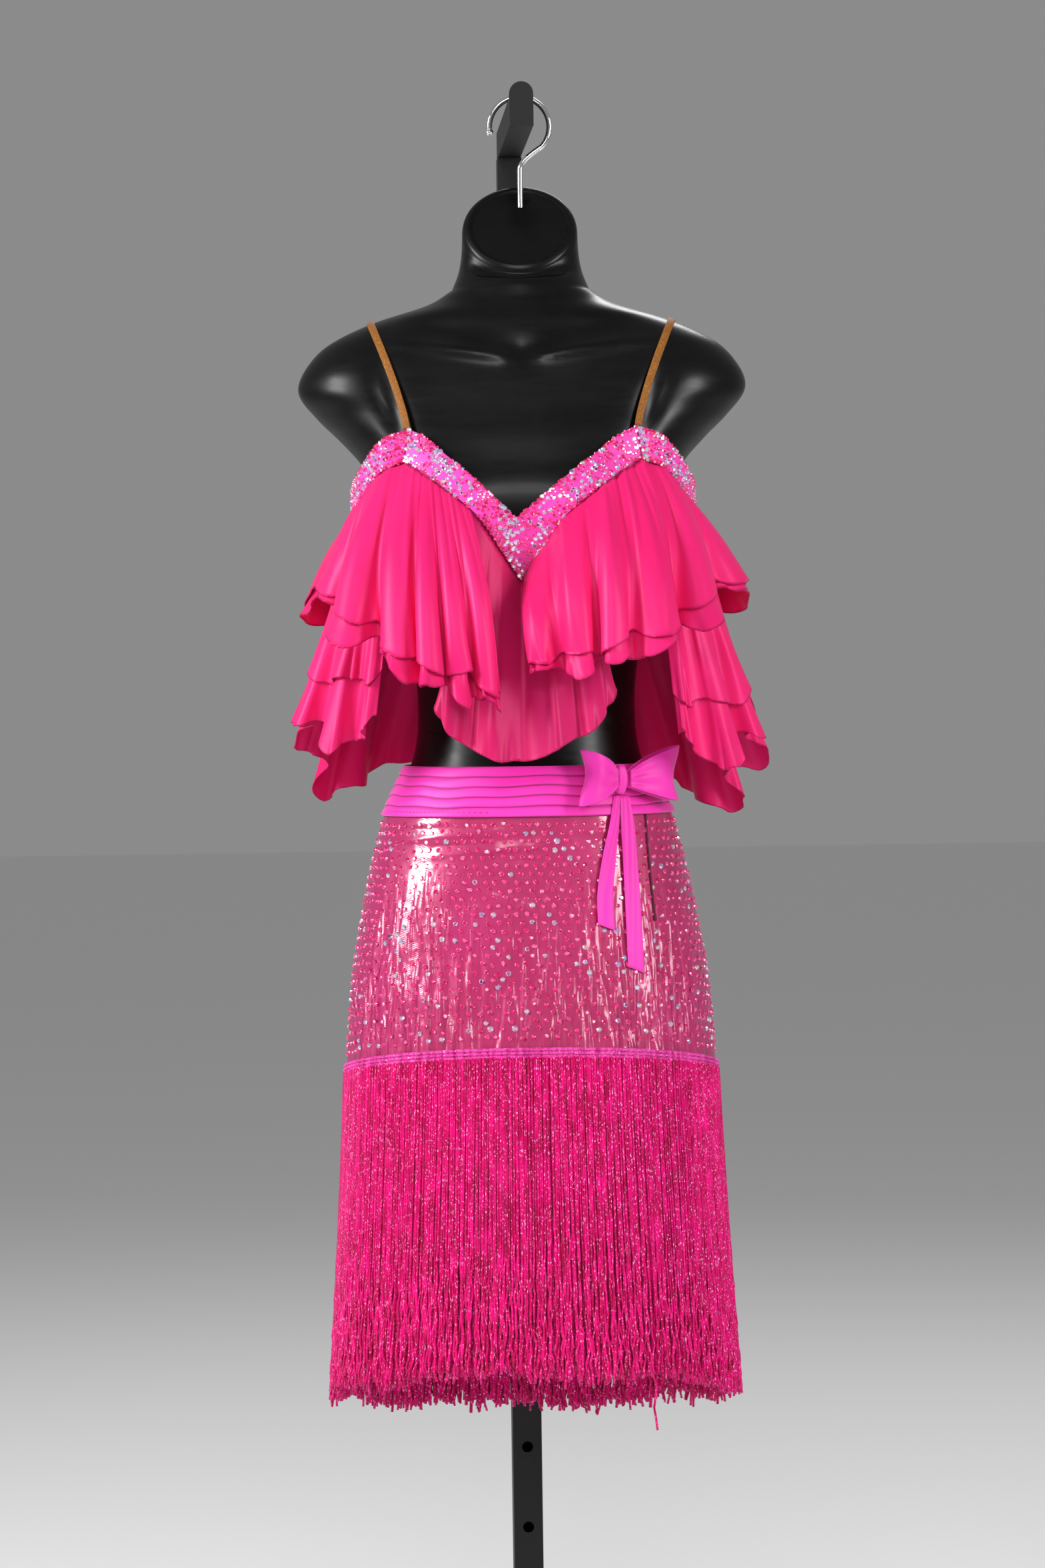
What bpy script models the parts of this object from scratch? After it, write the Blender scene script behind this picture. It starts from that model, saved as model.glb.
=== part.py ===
"""Latin dance costume on a hanging torso form and its stand: a top with a beaded V band,
thin shoulder straps and tiers of flounces, and a fringed skirt with a pleated sash and bow.

Metres, +Z up. The costume faces -Y and +X is the viewer's right. The origin is on the floor,
under the form. Angles round the body start at the front and grow towards +X.
"""
import math

import bmesh
import bpy
import numpy as np
from mathutils import Matrix, Vector

MM = 0.001

# Walls, gaps, and the side seams' place round the bodice
SEAM_GAP = 0.3 * MM
LAYER_GAP = 0.45 * MM
FLOUNCE_WALL = 1.1 * MM
BODICE_WALL = 1.3 * MM
BODICE_CLEARANCE = 2.6 * MM
BAND_WALL = 2.6 * MM
BAND_LIFT = 1.0 * MM
BACK_BAND_LIFT = 3.1 * MM
HEADER_GAP = 0.6 * MM
BOW_GAP = 0.4 * MM
KNOT_GAP = 0.9 * MM
PANEL_DROP = 2.0 * MM
BODICE_SIDE = math.radians(70)
SKIRT_WALL = 1.3 * MM
RIBBON_WALL = 1.3 * MM

# How far each layer of the top stands off the form
BODICE_OUT = BODICE_CLEARANCE + BODICE_WALL
BAND_IN = BODICE_OUT + BAND_LIFT
BAND_OUT = BAND_IN + BAND_WALL
BAND_MIDDLE = (BAND_IN + BAND_OUT) / 2
BACK_BAND_MIDDLE = BODICE_OUT + BACK_BAND_LIFT + BAND_WALL / 2

# Stand: its tubes, arm and base
ARM_YAW = math.radians(3.4)
POLE_Y = 0.195
HOOK_X, HOOK_Y = 0.0010, 0.020
BASE_SIZE = (0.42, 0.40, 0.008)
BASE_CENTRE_Y = 0.07
LOWER_TUBE = 0.028
UPPER_BAR = 0.0234
TUBE_WALL = 0.002
LOWER_TUBE_TOP = 1.02
BAR_INSERT = 0.10
ARM_TOP = 1.6060
ARM_HEIGHT = 0.0265
ARM_WIDTH = 0.022
ARM_FRONT_Y = -0.012
STOP_WIDTH = 0.0223
STOP_HEIGHT = 0.041
STOP_THICKNESS = 0.005
STOP_TOP = 1.6205
HOLE_RADIUS = 0.0055
HOLE_PITCH = 0.078
LOWEST_HOLE = 0.248
HOLE_COUNT = 5

# Hook: a chrome wire
WIRE_RADIUS = 0.0026
HOOK_RADIUS = 0.028
SHANK_HOLE_GAP = 0.5 * MM
SHANK_HOLE_DEPTH = 0.001
SHANK_CUTTER = 0.06
HOOK_REST = math.sqrt((HOOK_RADIUS - WIRE_RADIUS) ** 2 - (ARM_WIDTH / 2) ** 2)
HOOK_CENTRE_Z = ARM_TOP + 2 * SEAM_GAP - HOOK_REST
SHANK_TOP_Z = 1.5430
SHANK_BOTTOM_Z = 1.4990
BALL_RADIUS = 0.0036

# Bust: two soft cups on the form's front
BUST_HEIGHT = 1.205
BUST_X = 0.064
BUST_RISE = 0.011
BUST_SPREAD_X = 0.052
BUST_SPREAD_Z = 0.052
FORM_BUST_SHARE = 0.5

# Flounces: mesh, waves, and how far each pair stands off the band's middle
COLUMNS_PER_WAVE = 5
UPPER_ROWS = (0.0, 0.30, 0.65, 1.0, 1.10)
LOWER_ROWS = {"lower_flounce_left": (0.0, 0.26, 0.54, 0.80, 1.01),
              "lower_flounce_right": (0.0, 0.30, 0.60, 0.90, 1.09)}
PANEL_ROWS = 6
UPPER_WAVES = 9
LOWER_WAVES = 7
PANEL_WAVES = 4
UPPER_OUTSET = 2.4 * MM
LOWER_OUTSET = -1.3 * MM
UPPER_BELLY = 0.016
PANEL_BELLY = 0.005
LOOP_FIRST, LOOP_LAST = 0.02, 0.996
FLOUNCE_DROP = 2.4 * MM
UNDER_SPREAD = 1.7 * MM

# Slow changes along a flounce in its waves' pitch and height and in its hem's length
UNEVEN = 0.5
PITCH_BEAT = 0.37
HEIGHT_BEAT = 0.53
HEIGHT_CHANGE = 0.25
HEM_BEAT = 0.61
HEM_DRIFT = 0.035
UNDER_PHASE = 2.5

# At the arms a flounce hangs straight, without the belly that it has over the bust
SIDE_PLACE_MIDDLE = 0.66
SIDE_PLACE_SPREAD = 0.22
SIDE_FLATNESS = 0.85

FORM_COLUMNS = 28
SKIRT_COLUMNS = 20


def table(columns, *rows):
    """A table with named columns, as one array for each name."""
    return dict(zip(columns.split(), np.array(rows, dtype=float).T))


# The form from hips to neck: height, half width, front and back depth, squareness
FORM = table(
    "z half_width front back power",
    (0.800, 0.1400, 0.094, 0.104, 2.2),
    (0.860, 0.1430, 0.097, 0.110, 2.2),
    (0.900, 0.1395, 0.097, 0.110, 2.2),
    (0.943, 0.1295, 0.094, 0.103, 2.2),
    (0.968, 0.1175, 0.090, 0.092, 2.2),
    (0.995, 0.1060, 0.085, 0.081, 2.2),
    (1.045, 0.1005, 0.080, 0.071, 2.2),
    (1.100, 0.1070, 0.086, 0.075, 2.2),
    (1.150, 0.1190, 0.097, 0.082, 2.2),
    (1.200, 0.1330, 0.109, 0.090, 2.3),
    (1.240, 0.1410, 0.109, 0.096, 2.4),
    (1.265, 0.1480, 0.102, 0.099, 2.4),
    (1.290, 0.1690, 0.095, 0.100, 2.3),
    (1.312, 0.1910, 0.087, 0.099, 2.2),
    (1.336, 0.2080, 0.079, 0.096, 2.2),
    (1.360, 0.2000, 0.071, 0.090, 2.2),
    (1.382, 0.1770, 0.063, 0.082, 2.1),
    (1.402, 0.1330, 0.055, 0.074, 2.1),
    (1.416, 0.0880, 0.048, 0.068, 2.0),
    (1.430, 0.0640, 0.044, 0.063, 2.0))

# The neck above it, whose rings lean back to the oblique cap
NECK = table(
    "y z half_width half_depth lean",
    (0.010, 1.446, 0.0578, 0.0520, 12.0),
    (0.010, 1.460, 0.0550, 0.0520, 30.0),
    (0.009, 1.474, 0.0540, 0.0530, 45.0),
    (0.006, 1.484, 0.0535, 0.0530, 54.0),
    (0.0035, 1.4872, 0.0515, 0.0512, 55.0),
    (0.0018, 1.4885, 0.0478, 0.0475, 55.0))

# The skirt's outside from the sash down: height, half width, front and back depth
SKIRT = table(
    "z half_width front back power",
    (0.650, 0.1735, 0.120, 0.128, 2.3),
    (0.711, 0.1715, 0.117, 0.126, 2.3),
    (0.760, 0.1685, 0.113, 0.125, 2.3),
    (0.800, 0.1645, 0.110, 0.124, 2.3),
    (0.848, 0.1560, 0.107, 0.121, 2.3),
    (0.884, 0.1490, 0.104, 0.117, 2.25),
    (0.915, 0.1415, 0.101, 0.112, 2.2),
    (0.943, 0.1335, 0.098, 0.107, 2.2),
    (0.968, 0.1215, 0.094, 0.096, 2.2),
    (0.995, 0.1095, 0.0885, 0.085, 2.2))

# The band's V, right half, from its tip to its peak: the top and the bottom edge
BAND_V = table(
    "along top_x top_z low_x low_z",
    (0.00, 0.000, 1.2095, 0.000, 1.1555),
    (0.16, 0.018, 1.2255, 0.017, 1.1800),
    (0.36, 0.040, 1.2455, 0.037, 1.2085),
    (0.62, 0.068, 1.2690, 0.070, 1.2380),
    (0.86, 0.092, 1.2885, 0.094, 1.2565),
    (1.00, 0.104, 1.2940, 0.108, 1.2655))

# The V leans to the viewer's left: most at its notch, less at its tip, not at its peaks
V_LEAN_TOP = -0.0070
V_LEAN_LOW = -0.0030
V_LEAN_FADE = 1.5

# The arm band from the V's peak round the arm to the back: its middle line, top and bottom
ARM_BAND = table(
    "along x y top_z low_z",
    (0.00, 0.1065, -0.0865, 1.2930, 1.2645),
    (0.20, 0.1290, -0.0830, 1.2840, 1.2560),
    (0.38, 0.1470, -0.0600, 1.2620, 1.2360),
    (0.55, 0.1570, -0.0200, 1.2480, 1.2230),
    (0.70, 0.1570, 0.0250, 1.2460, 1.2210),
    (0.85, 0.1330, 0.0620, 1.2480, 1.2230),
    (1.00, 0.0950, 0.0800, 1.2500, 1.2250))

# The back band, and where the V and the arm band end on the loop of all bands
V_END = 0.45
ARM_END = 0.84
BACK_SEAM_X = 0.0950
BACK_BAND_X = 0.0940
BAND_BACK_TOP = 1.250
BAND_BACK_LOW = 1.225
BAND_SLANT = 0.004

# Bodice: rows from the band's top edge (0) and bottom edge (1) to the hem (2)
BODICE_HEM = 1.108
BODICE_SIDE_TOP = 1.240
BODICE_SIDE_LOW = 1.225
SIDE_PLACE = 1.36
SIDE_SEAM_TURN = math.radians(0.35)
BACK_RISE = 1.2
BODICE_ROWS = (0.0, 1.0, 1.2, 1.45, 1.7, 2.0)

# Flounces, from the front to the centre back: the place on the loop of bands, the hem, and the
# height of the waves there
UPPER_RIGHT = table(
    "along loop hem_x hem_y hem_z wave",
    (0.00, 0.00, 0.002, -0.1580, 1.080, 0.003),
    (0.12, 0.12, 0.032, -0.1650, 1.083, 0.009),
    (0.26, 0.28, 0.076, -0.1680, 1.094, 0.011),
    (0.38, 0.40, 0.112, -0.1590, 1.108, 0.012),
    (0.48, 0.49, 0.148, -0.1330, 1.128, 0.015),
    (0.58, 0.57, 0.178, -0.0840, 1.156, 0.013),
    (0.68, 0.66, 0.193, -0.0180, 1.162, 0.010),
    (0.80, 0.79, 0.182, 0.0760, 1.128, 0.010),
    (0.91, 0.90, 0.112, 0.1360, 1.100, 0.010),
    (1.00, 1.00, 0.004, 0.1500, 1.090, 0.004))

UPPER_LEFT = table(
    "along loop hem_x hem_y hem_z wave",
    (0.00, 0.20, 0.024, -0.1600, 1.052, 0.003),
    (0.12, 0.27, 0.048, -0.1670, 1.064, 0.009),
    (0.26, 0.35, 0.080, -0.1680, 1.077, 0.011),
    (0.38, 0.42, 0.110, -0.1580, 1.092, 0.012),
    (0.48, 0.49, 0.142, -0.1330, 1.120, 0.015),
    (0.58, 0.57, 0.172, -0.0840, 1.149, 0.011),
    (0.68, 0.66, 0.188, -0.0180, 1.155, 0.008),
    (0.80, 0.79, 0.180, 0.0760, 1.122, 0.010),
    (0.91, 0.90, 0.112, 0.1360, 1.098, 0.010),
    (1.00, 1.00, 0.004, 0.1500, 1.090, 0.004))

LOWER_SIDE = table(
    "along loop hem_x hem_y hem_z wave",
    (0.00, 0.47, 0.134, -0.1050, 1.034, 0.003),
    (0.13, 0.51, 0.162, -0.0940, 1.014, 0.009),
    (0.27, 0.55, 0.194, -0.0640, 1.026, 0.011),
    (0.40, 0.62, 0.209, -0.0180, 1.036, 0.011),
    (0.54, 0.71, 0.203, 0.0380, 0.996, 0.012),
    (0.69, 0.81, 0.168, 0.0860, 0.976, 0.012),
    (0.82, 0.89, 0.118, 0.1140, 0.996, 0.010),
    (0.92, 0.95, 0.058, 0.1260, 1.012, 0.008),
    (1.00, 1.00, 0.004, 0.1280, 1.018, 0.004))

# The smooth front panel under the upper flounces, from edge to edge: its place on the V, hem
LOWER_FRONT = table(
    "along place hem_x hem_y hem_z wave",
    (0.00, -0.48, -0.080, -0.1340, 1.046, 0.004),
    (0.12, -0.37, -0.070, -0.1400, 1.022, 0.006),
    (0.30, -0.21, -0.044, -0.1440, 0.998, 0.004),
    (0.50, 0.00, -0.006, -0.1440, 0.990, 0.001),
    (0.70, 0.21, 0.034, -0.1440, 1.004, 0.003),
    (0.88, 0.37, 0.064, -0.1400, 1.026, 0.006),
    (1.00, 0.48, 0.080, -0.1340, 1.048, 0.004))

# Sash: five pleats, with a dip at the front, and the half gaps at its and the skirt's side seams
SASH_SEAM = 0.0026
SKIRT_SEAM = 0.0022
SASH_TOP = 0.9920
SASH_BOTTOM = 0.9460
SASH_DIP = 0.006
PLEATS = 5
PLEAT_RISE = 2.0 * MM
SASH_BASE = 1.4 * MM

# Fringe: a narrow header, higher at the front, with strands under it
HEADER_SIDE_Z = 0.711
HEADER_TILT = 0.021
HEADER_HEIGHT = 0.010
HEADER_WALL = 2.4 * MM
STRANDS = 180
HEADER_COLUMNS = 45
FRINGE_LENGTH = 0.297
FRINGE_LONGER_BACK = 0.011
FRINGE_FLARE = 0.018
STRAND_ROOT = 0.80
STRAND_TAPER = 0.85

# Bow: its loops, knot and tails, on the sash at the viewer's right
LEFT_LOOP = 0.036
RIGHT_LOOP = 0.054
RIGHT_LOOP_LIFT = 0.004
TAIL_SLANT = 0.010
BOW_X, BOW_Z = 0.0810, 0.9735
BOW_YAW = math.radians(35)
BOW_LIFT = 2.0 * MM
KNOT_SIZE = (0.0130, 0.0120, 0.0270)
LOOP_SHAPE = table(
    "along out half_height lift",
    (0.00, 0.0105, 0.0075, 0.000),
    (0.30, 0.0150, 0.0150, 0.001),
    (0.65, 0.0165, 0.0215, 0.001),
    (0.92, 0.0120, 0.0250, 0.001),
    (1.00, 0.0065, 0.0255, 0.001),
    (0.90, 0.0015, 0.0245, 0.001),
    (0.60, 0.0010, 0.0200, 0.001),
    (0.28, 0.0025, 0.0140, 0.001),
    (0.00, 0.0045, 0.0075, 0.000))
TAILS = {
    "bow_tail_left": table(
        "x z half_width stand_off",
        (0.0815, 0.9580, 0.0026, 0.0059),
        (0.0790, 0.9350, 0.0042, 0.0058),
        (0.0730, 0.9000, 0.0062, 0.0042),
        (0.0690, 0.8650, 0.0072, 0.0034),
        (0.0700, 0.8420, 0.0076, 0.0034)),
    "bow_tail_right": table(
        "x z half_width stand_off",
        (0.0885, 0.9580, 0.0026, 0.0059),
        (0.0905, 0.9350, 0.0040, 0.0058),
        (0.0925, 0.9000, 0.0055, 0.0042),
        (0.0945, 0.8550, 0.0064, 0.0034),
        (0.0965, 0.8030, 0.0070, 0.0034))}

# Shoulder straps, from the band's peak over the shoulder to the back band
STRAP_WIDTH = 0.0070
STRAP_WALL = 1.5 * MM
STRAP_LIFT = 0.7 * MM
STRAP_END_LIFT = 4.4 * MM
STRAP_SIDE_X = 0.1400
STRAP_FRONT_X, STRAP_FRONT_Z = 0.1035, 1.2931
STRAP_BACK_X, STRAP_BACK_Z = 0.0860, 1.2520
STRAP_POINTS = 22

# Colours, as linear values
COLOURS = {
    "satin": ((0.87, 0.055, 0.22), 0.42, 0.0),
    "band": ((0.90, 0.07, 0.50), 0.35, 0.0),
    "sash": ((0.91, 0.06, 0.55), 0.50, 0.0),
    "foil": ((0.62, 0.07, 0.20), 0.28, 0.4),
    "fringe": ((0.70, 0.02, 0.20), 0.55, 0.0),
    "elastic": ((0.46, 0.18, 0.03), 0.60, 0.0),
    "form": ((0.012, 0.012, 0.013), 0.22, 0.0),
    "steel": ((0.010, 0.010, 0.011), 0.40, 0.3),
    "chrome": ((0.80, 0.80, 0.82), 0.08, 1.0)}


def clear_scene():
    for old in list(bpy.data.objects):
        bpy.data.objects.remove(old, do_unlink=True)


def material(name):
    found = bpy.data.materials.get(name)
    if found:
        return found
    colour, roughness, metallic = COLOURS[name]
    made = bpy.data.materials.new(name)
    made.use_nodes = True
    shader = made.node_tree.nodes["Principled BSDF"]
    shader.inputs["Base Color"].default_value = (*colour, 1.0)
    shader.inputs["Roughness"].default_value = roughness
    shader.inputs["Metallic"].default_value = metallic
    made.diffuse_color = (*colour, 1.0)
    return made


def add_object(name, work, finish):
    """One object from a bmesh, with its faces turned out."""
    bmesh.ops.recalc_face_normals(work, faces=work.faces)
    mesh = bpy.data.meshes.new(name)
    work.to_mesh(mesh)
    work.free()
    made = bpy.data.objects.new(name, mesh)
    bpy.context.scene.collection.objects.link(made)
    mesh.materials.append(material(finish))
    mesh.shade_smooth()
    mesh.set_sharp_from_angle(angle=math.radians(40))
    return made


def smooth(stations, values, at):
    """A cubic curve through the values, with slopes taken from their neighbours."""
    slopes = np.gradient(values, stations)
    at = np.clip(at, stations[0], stations[-1])
    low = np.clip(np.searchsorted(stations, at) - 1, 0, len(stations) - 2)
    gap = stations[low + 1] - stations[low]
    t = (at - stations[low]) / gap
    start = (2 * t**3 - 3 * t**2 + 1) * values[low] + (t**3 - 2 * t**2 + t) * gap * slopes[low]
    end = (3 * t**2 - 2 * t**3) * values[low + 1] + (t**3 - t**2) * gap * slopes[low + 1]
    return start + end


def read(rows, column, at, key="along"):
    return smooth(rows[key], rows[column], at)


# Body and skirt sections

def bust(x, z):
    rise = math.exp(-((z - BUST_HEIGHT) / BUST_SPREAD_Z) ** 2) * BUST_RISE
    left = math.exp(-((x + BUST_X) / BUST_SPREAD_X) ** 2)
    right = math.exp(-((x - BUST_X) / BUST_SPREAD_X) ** 2)
    return rise * (left + right)


def section(rows, z, grow=0.0):
    half_width = read(rows, "half_width", z, "z") + grow
    front = read(rows, "front", z, "z") + grow
    back = read(rows, "back", z, "z") + grow
    return half_width, (back - front) / 2, (back + front) / 2, read(rows, "power", z, "z")


def signed_power(value, power):
    return math.copysign(abs(value) ** power, value)


def ring_point(rows, angle, z, grow=0.0):
    """The point at an angle from the front on a section."""
    half_width, middle, depth, power = section(rows, z, grow)
    x = half_width * signed_power(math.sin(angle), 2 / power)
    y = middle - depth * signed_power(math.cos(angle), 2 / power)
    return x, y, z


def form_point(angle, z, grow=0.0, fullness=1.0):
    x, y, z = ring_point(FORM, angle, z, grow)
    if math.cos(angle) > 0:
        y -= bust(x, z) * fullness
    return x, y, z


def skirt_point(angle, z, grow=0.0):
    return ring_point(SKIRT, angle, z, grow)


def depth_at(rows, x, z, grow, front=True):
    """The depth of a section's front or back at a place across it."""
    half_width, middle, depth, power = section(rows, z, grow)
    reach = max(0.0, 1 - min(1.0, abs(x) / half_width) ** power) ** (1 / power)
    return middle - depth * reach if front else middle + depth * reach


def body_front(x, z, grow=0.0):
    return depth_at(FORM, x, z, grow) - bust(x, z)


def body_back(x, z, grow=0.0):
    return depth_at(FORM, x, z, grow, front=False)


# Solids from grids of points

def normals(grid, ring=False):
    """Outward unit normals of a grid whose columns run round the body and rows run down."""
    if ring:
        across = np.roll(grid, -1, axis=1) - np.roll(grid, 1, axis=1)
    else:
        across = np.gradient(grid, axis=1)
    down = np.gradient(grid, axis=0)
    facing = np.cross(down, across)
    return facing / np.linalg.norm(facing, axis=2, keepdims=True)


def moved(grid, distance, ring=False):
    return grid + normals(grid, ring) * distance


def wall(name, outer, inner, finish, ring=False):
    """A closed wall between two grids of the same size."""
    rows, columns = outer.shape[:2]
    work = bmesh.new()
    verts = [[[work.verts.new(p) for p in row] for row in grid] for grid in (outer, inner)]
    last = columns if ring else columns - 1
    for side in verts:
        for r in range(rows - 1):
            for c in range(last):
                n = (c + 1) % columns
                work.faces.new((side[r][c], side[r + 1][c], side[r + 1][n], side[r][n]))
    out, inn = verts
    for r in (0, rows - 1):
        for c in range(last):
            n = (c + 1) % columns
            work.faces.new((out[r][c], out[r][n], inn[r][n], inn[r][c]))
    if not ring:
        for c in (0, columns - 1):
            for r in range(rows - 1):
                work.faces.new((out[r][c], out[r + 1][c], inn[r + 1][c], inn[r][c]))
    return add_object(name, work, finish)


def loft(rings):
    """A closed solid through rings of points, with flat ends."""
    work = bmesh.new()
    made = [[work.verts.new(p) for p in ring] for ring in rings]
    count = len(rings[0])
    for low, high in zip(made, made[1:]):
        for c in range(count):
            n = (c + 1) % count
            work.faces.new((low[c], low[n], high[n], high[c]))
    work.faces.new(made[0])
    work.faces.new(made[-1])
    return work


def box(name, size, centre, finish, bevel=0.0, yaw=0.0):
    work = bmesh.new()
    bmesh.ops.create_cube(work, size=1.0)
    bmesh.ops.scale(work, vec=size, verts=work.verts)
    if bevel:
        upright = [e for e in work.edges if abs(e.verts[0].co.z - e.verts[1].co.z) > size[2] / 2]
        bmesh.ops.bevel(work, geom=upright, offset=bevel, segments=4, affect="EDGES", profile=0.5)
    place = Matrix.Translation(centre) @ Matrix.Rotation(yaw, 4, "Z")
    bmesh.ops.transform(work, matrix=place, verts=work.verts)
    return add_object(name, work, finish)


# Stand

def along_arm(y):
    """The arm's middle line, seen from above."""
    return HOOK_X + (HOOK_Y - y) * math.tan(ARM_YAW)


def square_tube(name, width, bottom, top, holes=()):
    """An upright hollow square tube, with round holes in its front face."""
    work = bmesh.new()
    half = width / 2
    inner = half - TUBE_WALL
    rings = [(half, bottom), (half, top), (inner, top), (inner, bottom)]
    corners = [(-1, -1), (1, -1), (1, 1), (-1, 1)]
    verts = [[work.verts.new((sx * h, sy * h, z)) for sx, sy in corners] for h, z in rings]
    for a in range(4):
        b = (a + 1) % 4
        for c in range(4):
            n = (c + 1) % 4
            work.faces.new((verts[a][c], verts[a][n], verts[b][n], verts[b][c]))
    place = Matrix.Translation((along_arm(POLE_Y), POLE_Y, 0)) @ Matrix.Rotation(ARM_YAW, 4, "Z")
    bmesh.ops.transform(work, matrix=place, verts=work.verts)
    tube = add_object(name, work, "steel")
    for index, z in enumerate(holes):
        cutter = hole_cutter(f"cutter_{name}_{index}", z, half)
        cut = tube.modifiers.new(f"hole_{index}", "BOOLEAN")
        cut.operation = "DIFFERENCE"
        cut.object = cutter
    return tube


def hole_cutter(name, z, half):
    work = bmesh.new()
    turn = Matrix.Rotation(math.radians(90), 4, "X")
    bmesh.ops.create_cone(work, cap_ends=True, segments=12, radius1=HOLE_RADIUS,
                          radius2=HOLE_RADIUS, depth=half, matrix=turn)
    place = (Matrix.Translation((along_arm(POLE_Y), POLE_Y, z))
             @ Matrix.Rotation(ARM_YAW, 4, "Z") @ Matrix.Translation((0, -half, 0)))
    bmesh.ops.transform(work, matrix=place, verts=work.verts)
    cutter = add_object(name, work, "steel")
    cutter.hide_render = True
    cutter.display_type = "WIRE"
    return cutter


def end_stop():
    """The rounded plate that keeps the hook on the arm."""
    half = STOP_WIDTH / 2
    low = STOP_TOP - STOP_HEIGHT
    arc = [(half * math.cos(a), STOP_TOP - half + half * math.sin(a))
           for a in np.linspace(0, math.pi, 13)]
    outline = arc + [(-half, low), (half, low)]
    front = ARM_FRONT_Y - SEAM_GAP - STOP_THICKNESS
    rings = [[(x, y, z) for x, z in outline] for y in (front, front + STOP_THICKNESS)]
    work = loft(rings)
    place = (Matrix.Translation((along_arm(ARM_FRONT_Y), ARM_FRONT_Y, 0))
             @ Matrix.Rotation(ARM_YAW, 4, "Z") @ Matrix.Translation((0, -ARM_FRONT_Y, 0)))
    bmesh.ops.transform(work, matrix=place, verts=work.verts)
    return add_object("stand_end_stop", work, "steel")


def stand():
    pole_x = along_arm(POLE_Y)
    base_top = BASE_SIZE[2]
    box("stand_base", BASE_SIZE, (pole_x, BASE_CENTRE_Y, base_top / 2), "steel", bevel=0.03,
        yaw=ARM_YAW)
    holes = [LOWEST_HOLE + HOLE_PITCH * i for i in range(HOLE_COUNT)]
    square_tube("stand_lower_tube", LOWER_TUBE, base_top + SEAM_GAP, LOWER_TUBE_TOP, holes)
    arm_bottom = ARM_TOP - ARM_HEIGHT
    bar_bottom, bar_top = LOWER_TUBE_TOP - BAR_INSERT, arm_bottom - SEAM_GAP
    box("stand_upper_bar", (UPPER_BAR, UPPER_BAR, bar_top - bar_bottom),
        (pole_x, POLE_Y, (bar_top + bar_bottom) / 2), "steel", yaw=ARM_YAW)
    arm_back = POLE_Y + UPPER_BAR / 2
    length = (arm_back - ARM_FRONT_Y) / math.cos(ARM_YAW)
    middle_y = (arm_back + ARM_FRONT_Y) / 2
    box("stand_arm", (ARM_WIDTH, length, ARM_HEIGHT),
        (along_arm(middle_y), middle_y, ARM_TOP - ARM_HEIGHT / 2), "steel", yaw=ARM_YAW)
    end_stop()


# Hook

def hook_line():
    """The wire's middle line, from the ball over the arm and down the shank."""
    arc = []
    for angle in np.radians(np.linspace(183, -42, 17)):
        arc.append((HOOK_X + HOOK_RADIUS * math.cos(angle),
                    HOOK_CENTRE_Z + HOOK_RADIUS * math.sin(angle)))
    low_x, low_z = arc[-1]
    bend = []
    for t in (0.30, 0.60, 0.85):
        x = low_x + (HOOK_X - low_x) * math.sin(t * math.pi / 2)
        bend.append((x, low_z + (SHANK_TOP_Z - low_z) * t))
    shank = [(HOOK_X, z) for z in (SHANK_TOP_Z, SHANK_BOTTOM_Z)]
    return [Vector((x, HOOK_Y, z)) for x, z in arc + bend + shank]


def tube_rings(line, radius, sides, side_axis=Vector((0, 1, 0))):
    rings = []
    for i, point in enumerate(line):
        ahead = line[min(i + 1, len(line) - 1)]
        behind = line[max(i - 1, 0)]
        across = (ahead - behind).normalized().cross(side_axis)
        turn = [2 * math.pi * k / sides for k in range(sides)]
        rings.append([point + radius * (math.cos(a) * side_axis + math.sin(a) * across)
                      for a in turn])
    return rings


def hook():
    line = hook_line()
    rings = tube_rings(line, WIRE_RADIUS, 8)
    first = (line[0] - line[1]).normalized()
    ball = []
    for angle in np.radians((-62, -30, 0, 30, 60)):
        centre = line[0] + first * (BALL_RADIUS * (math.sin(angle) + 0.9))
        ball.append([centre + (p - line[0]) * (BALL_RADIUS / WIRE_RADIUS * math.cos(angle))
                     for p in rings[0]])
    return add_object("hook", loft(list(reversed(ball)) + rings), "chrome")


# Torso form

def form():
    heights = [z for low, high in zip(FORM["z"], FORM["z"][1:])
               for z in np.linspace(low, high, 2 if high - low > 0.034 else 1, endpoint=False)]
    heights.append(FORM["z"][-1])
    turns = [2 * math.pi * k / FORM_COLUMNS for k in range(FORM_COLUMNS)]
    rings = [[form_point(a, z, fullness=FORM_BUST_SHARE) for a in turns] for z in heights]
    for y, z, half_width, half_depth, lean in zip(*(NECK[k] for k in NECK)):
        slope = math.radians(lean)
        rings.append([(half_width * math.sin(a), y - half_depth * math.cos(a) * math.cos(slope),
                       z - half_depth * math.cos(a) * math.sin(slope)) for a in turns])
    made = add_object("form", loft(rings), "form")
    work = bmesh.new()
    bore = WIRE_RADIUS + SHANK_HOLE_GAP
    cutter_z = SHANK_BOTTOM_Z - SHANK_HOLE_DEPTH + SHANK_CUTTER / 2
    bmesh.ops.create_cone(work, cap_ends=True, segments=12, radius1=bore, radius2=bore,
                          depth=SHANK_CUTTER,
                          matrix=Matrix.Translation((HOOK_X, HOOK_Y, cutter_z)))
    cutter = add_object("cutter_hook_hole", work, "form")
    cutter.hide_render = True
    cutter.display_type = "WIRE"
    cut = made.modifiers.new("hook_hole", "BOOLEAN")
    cut.operation = "DIFFERENCE"
    cut.object = cutter
    return made


# Top: bodice, band and straps

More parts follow.
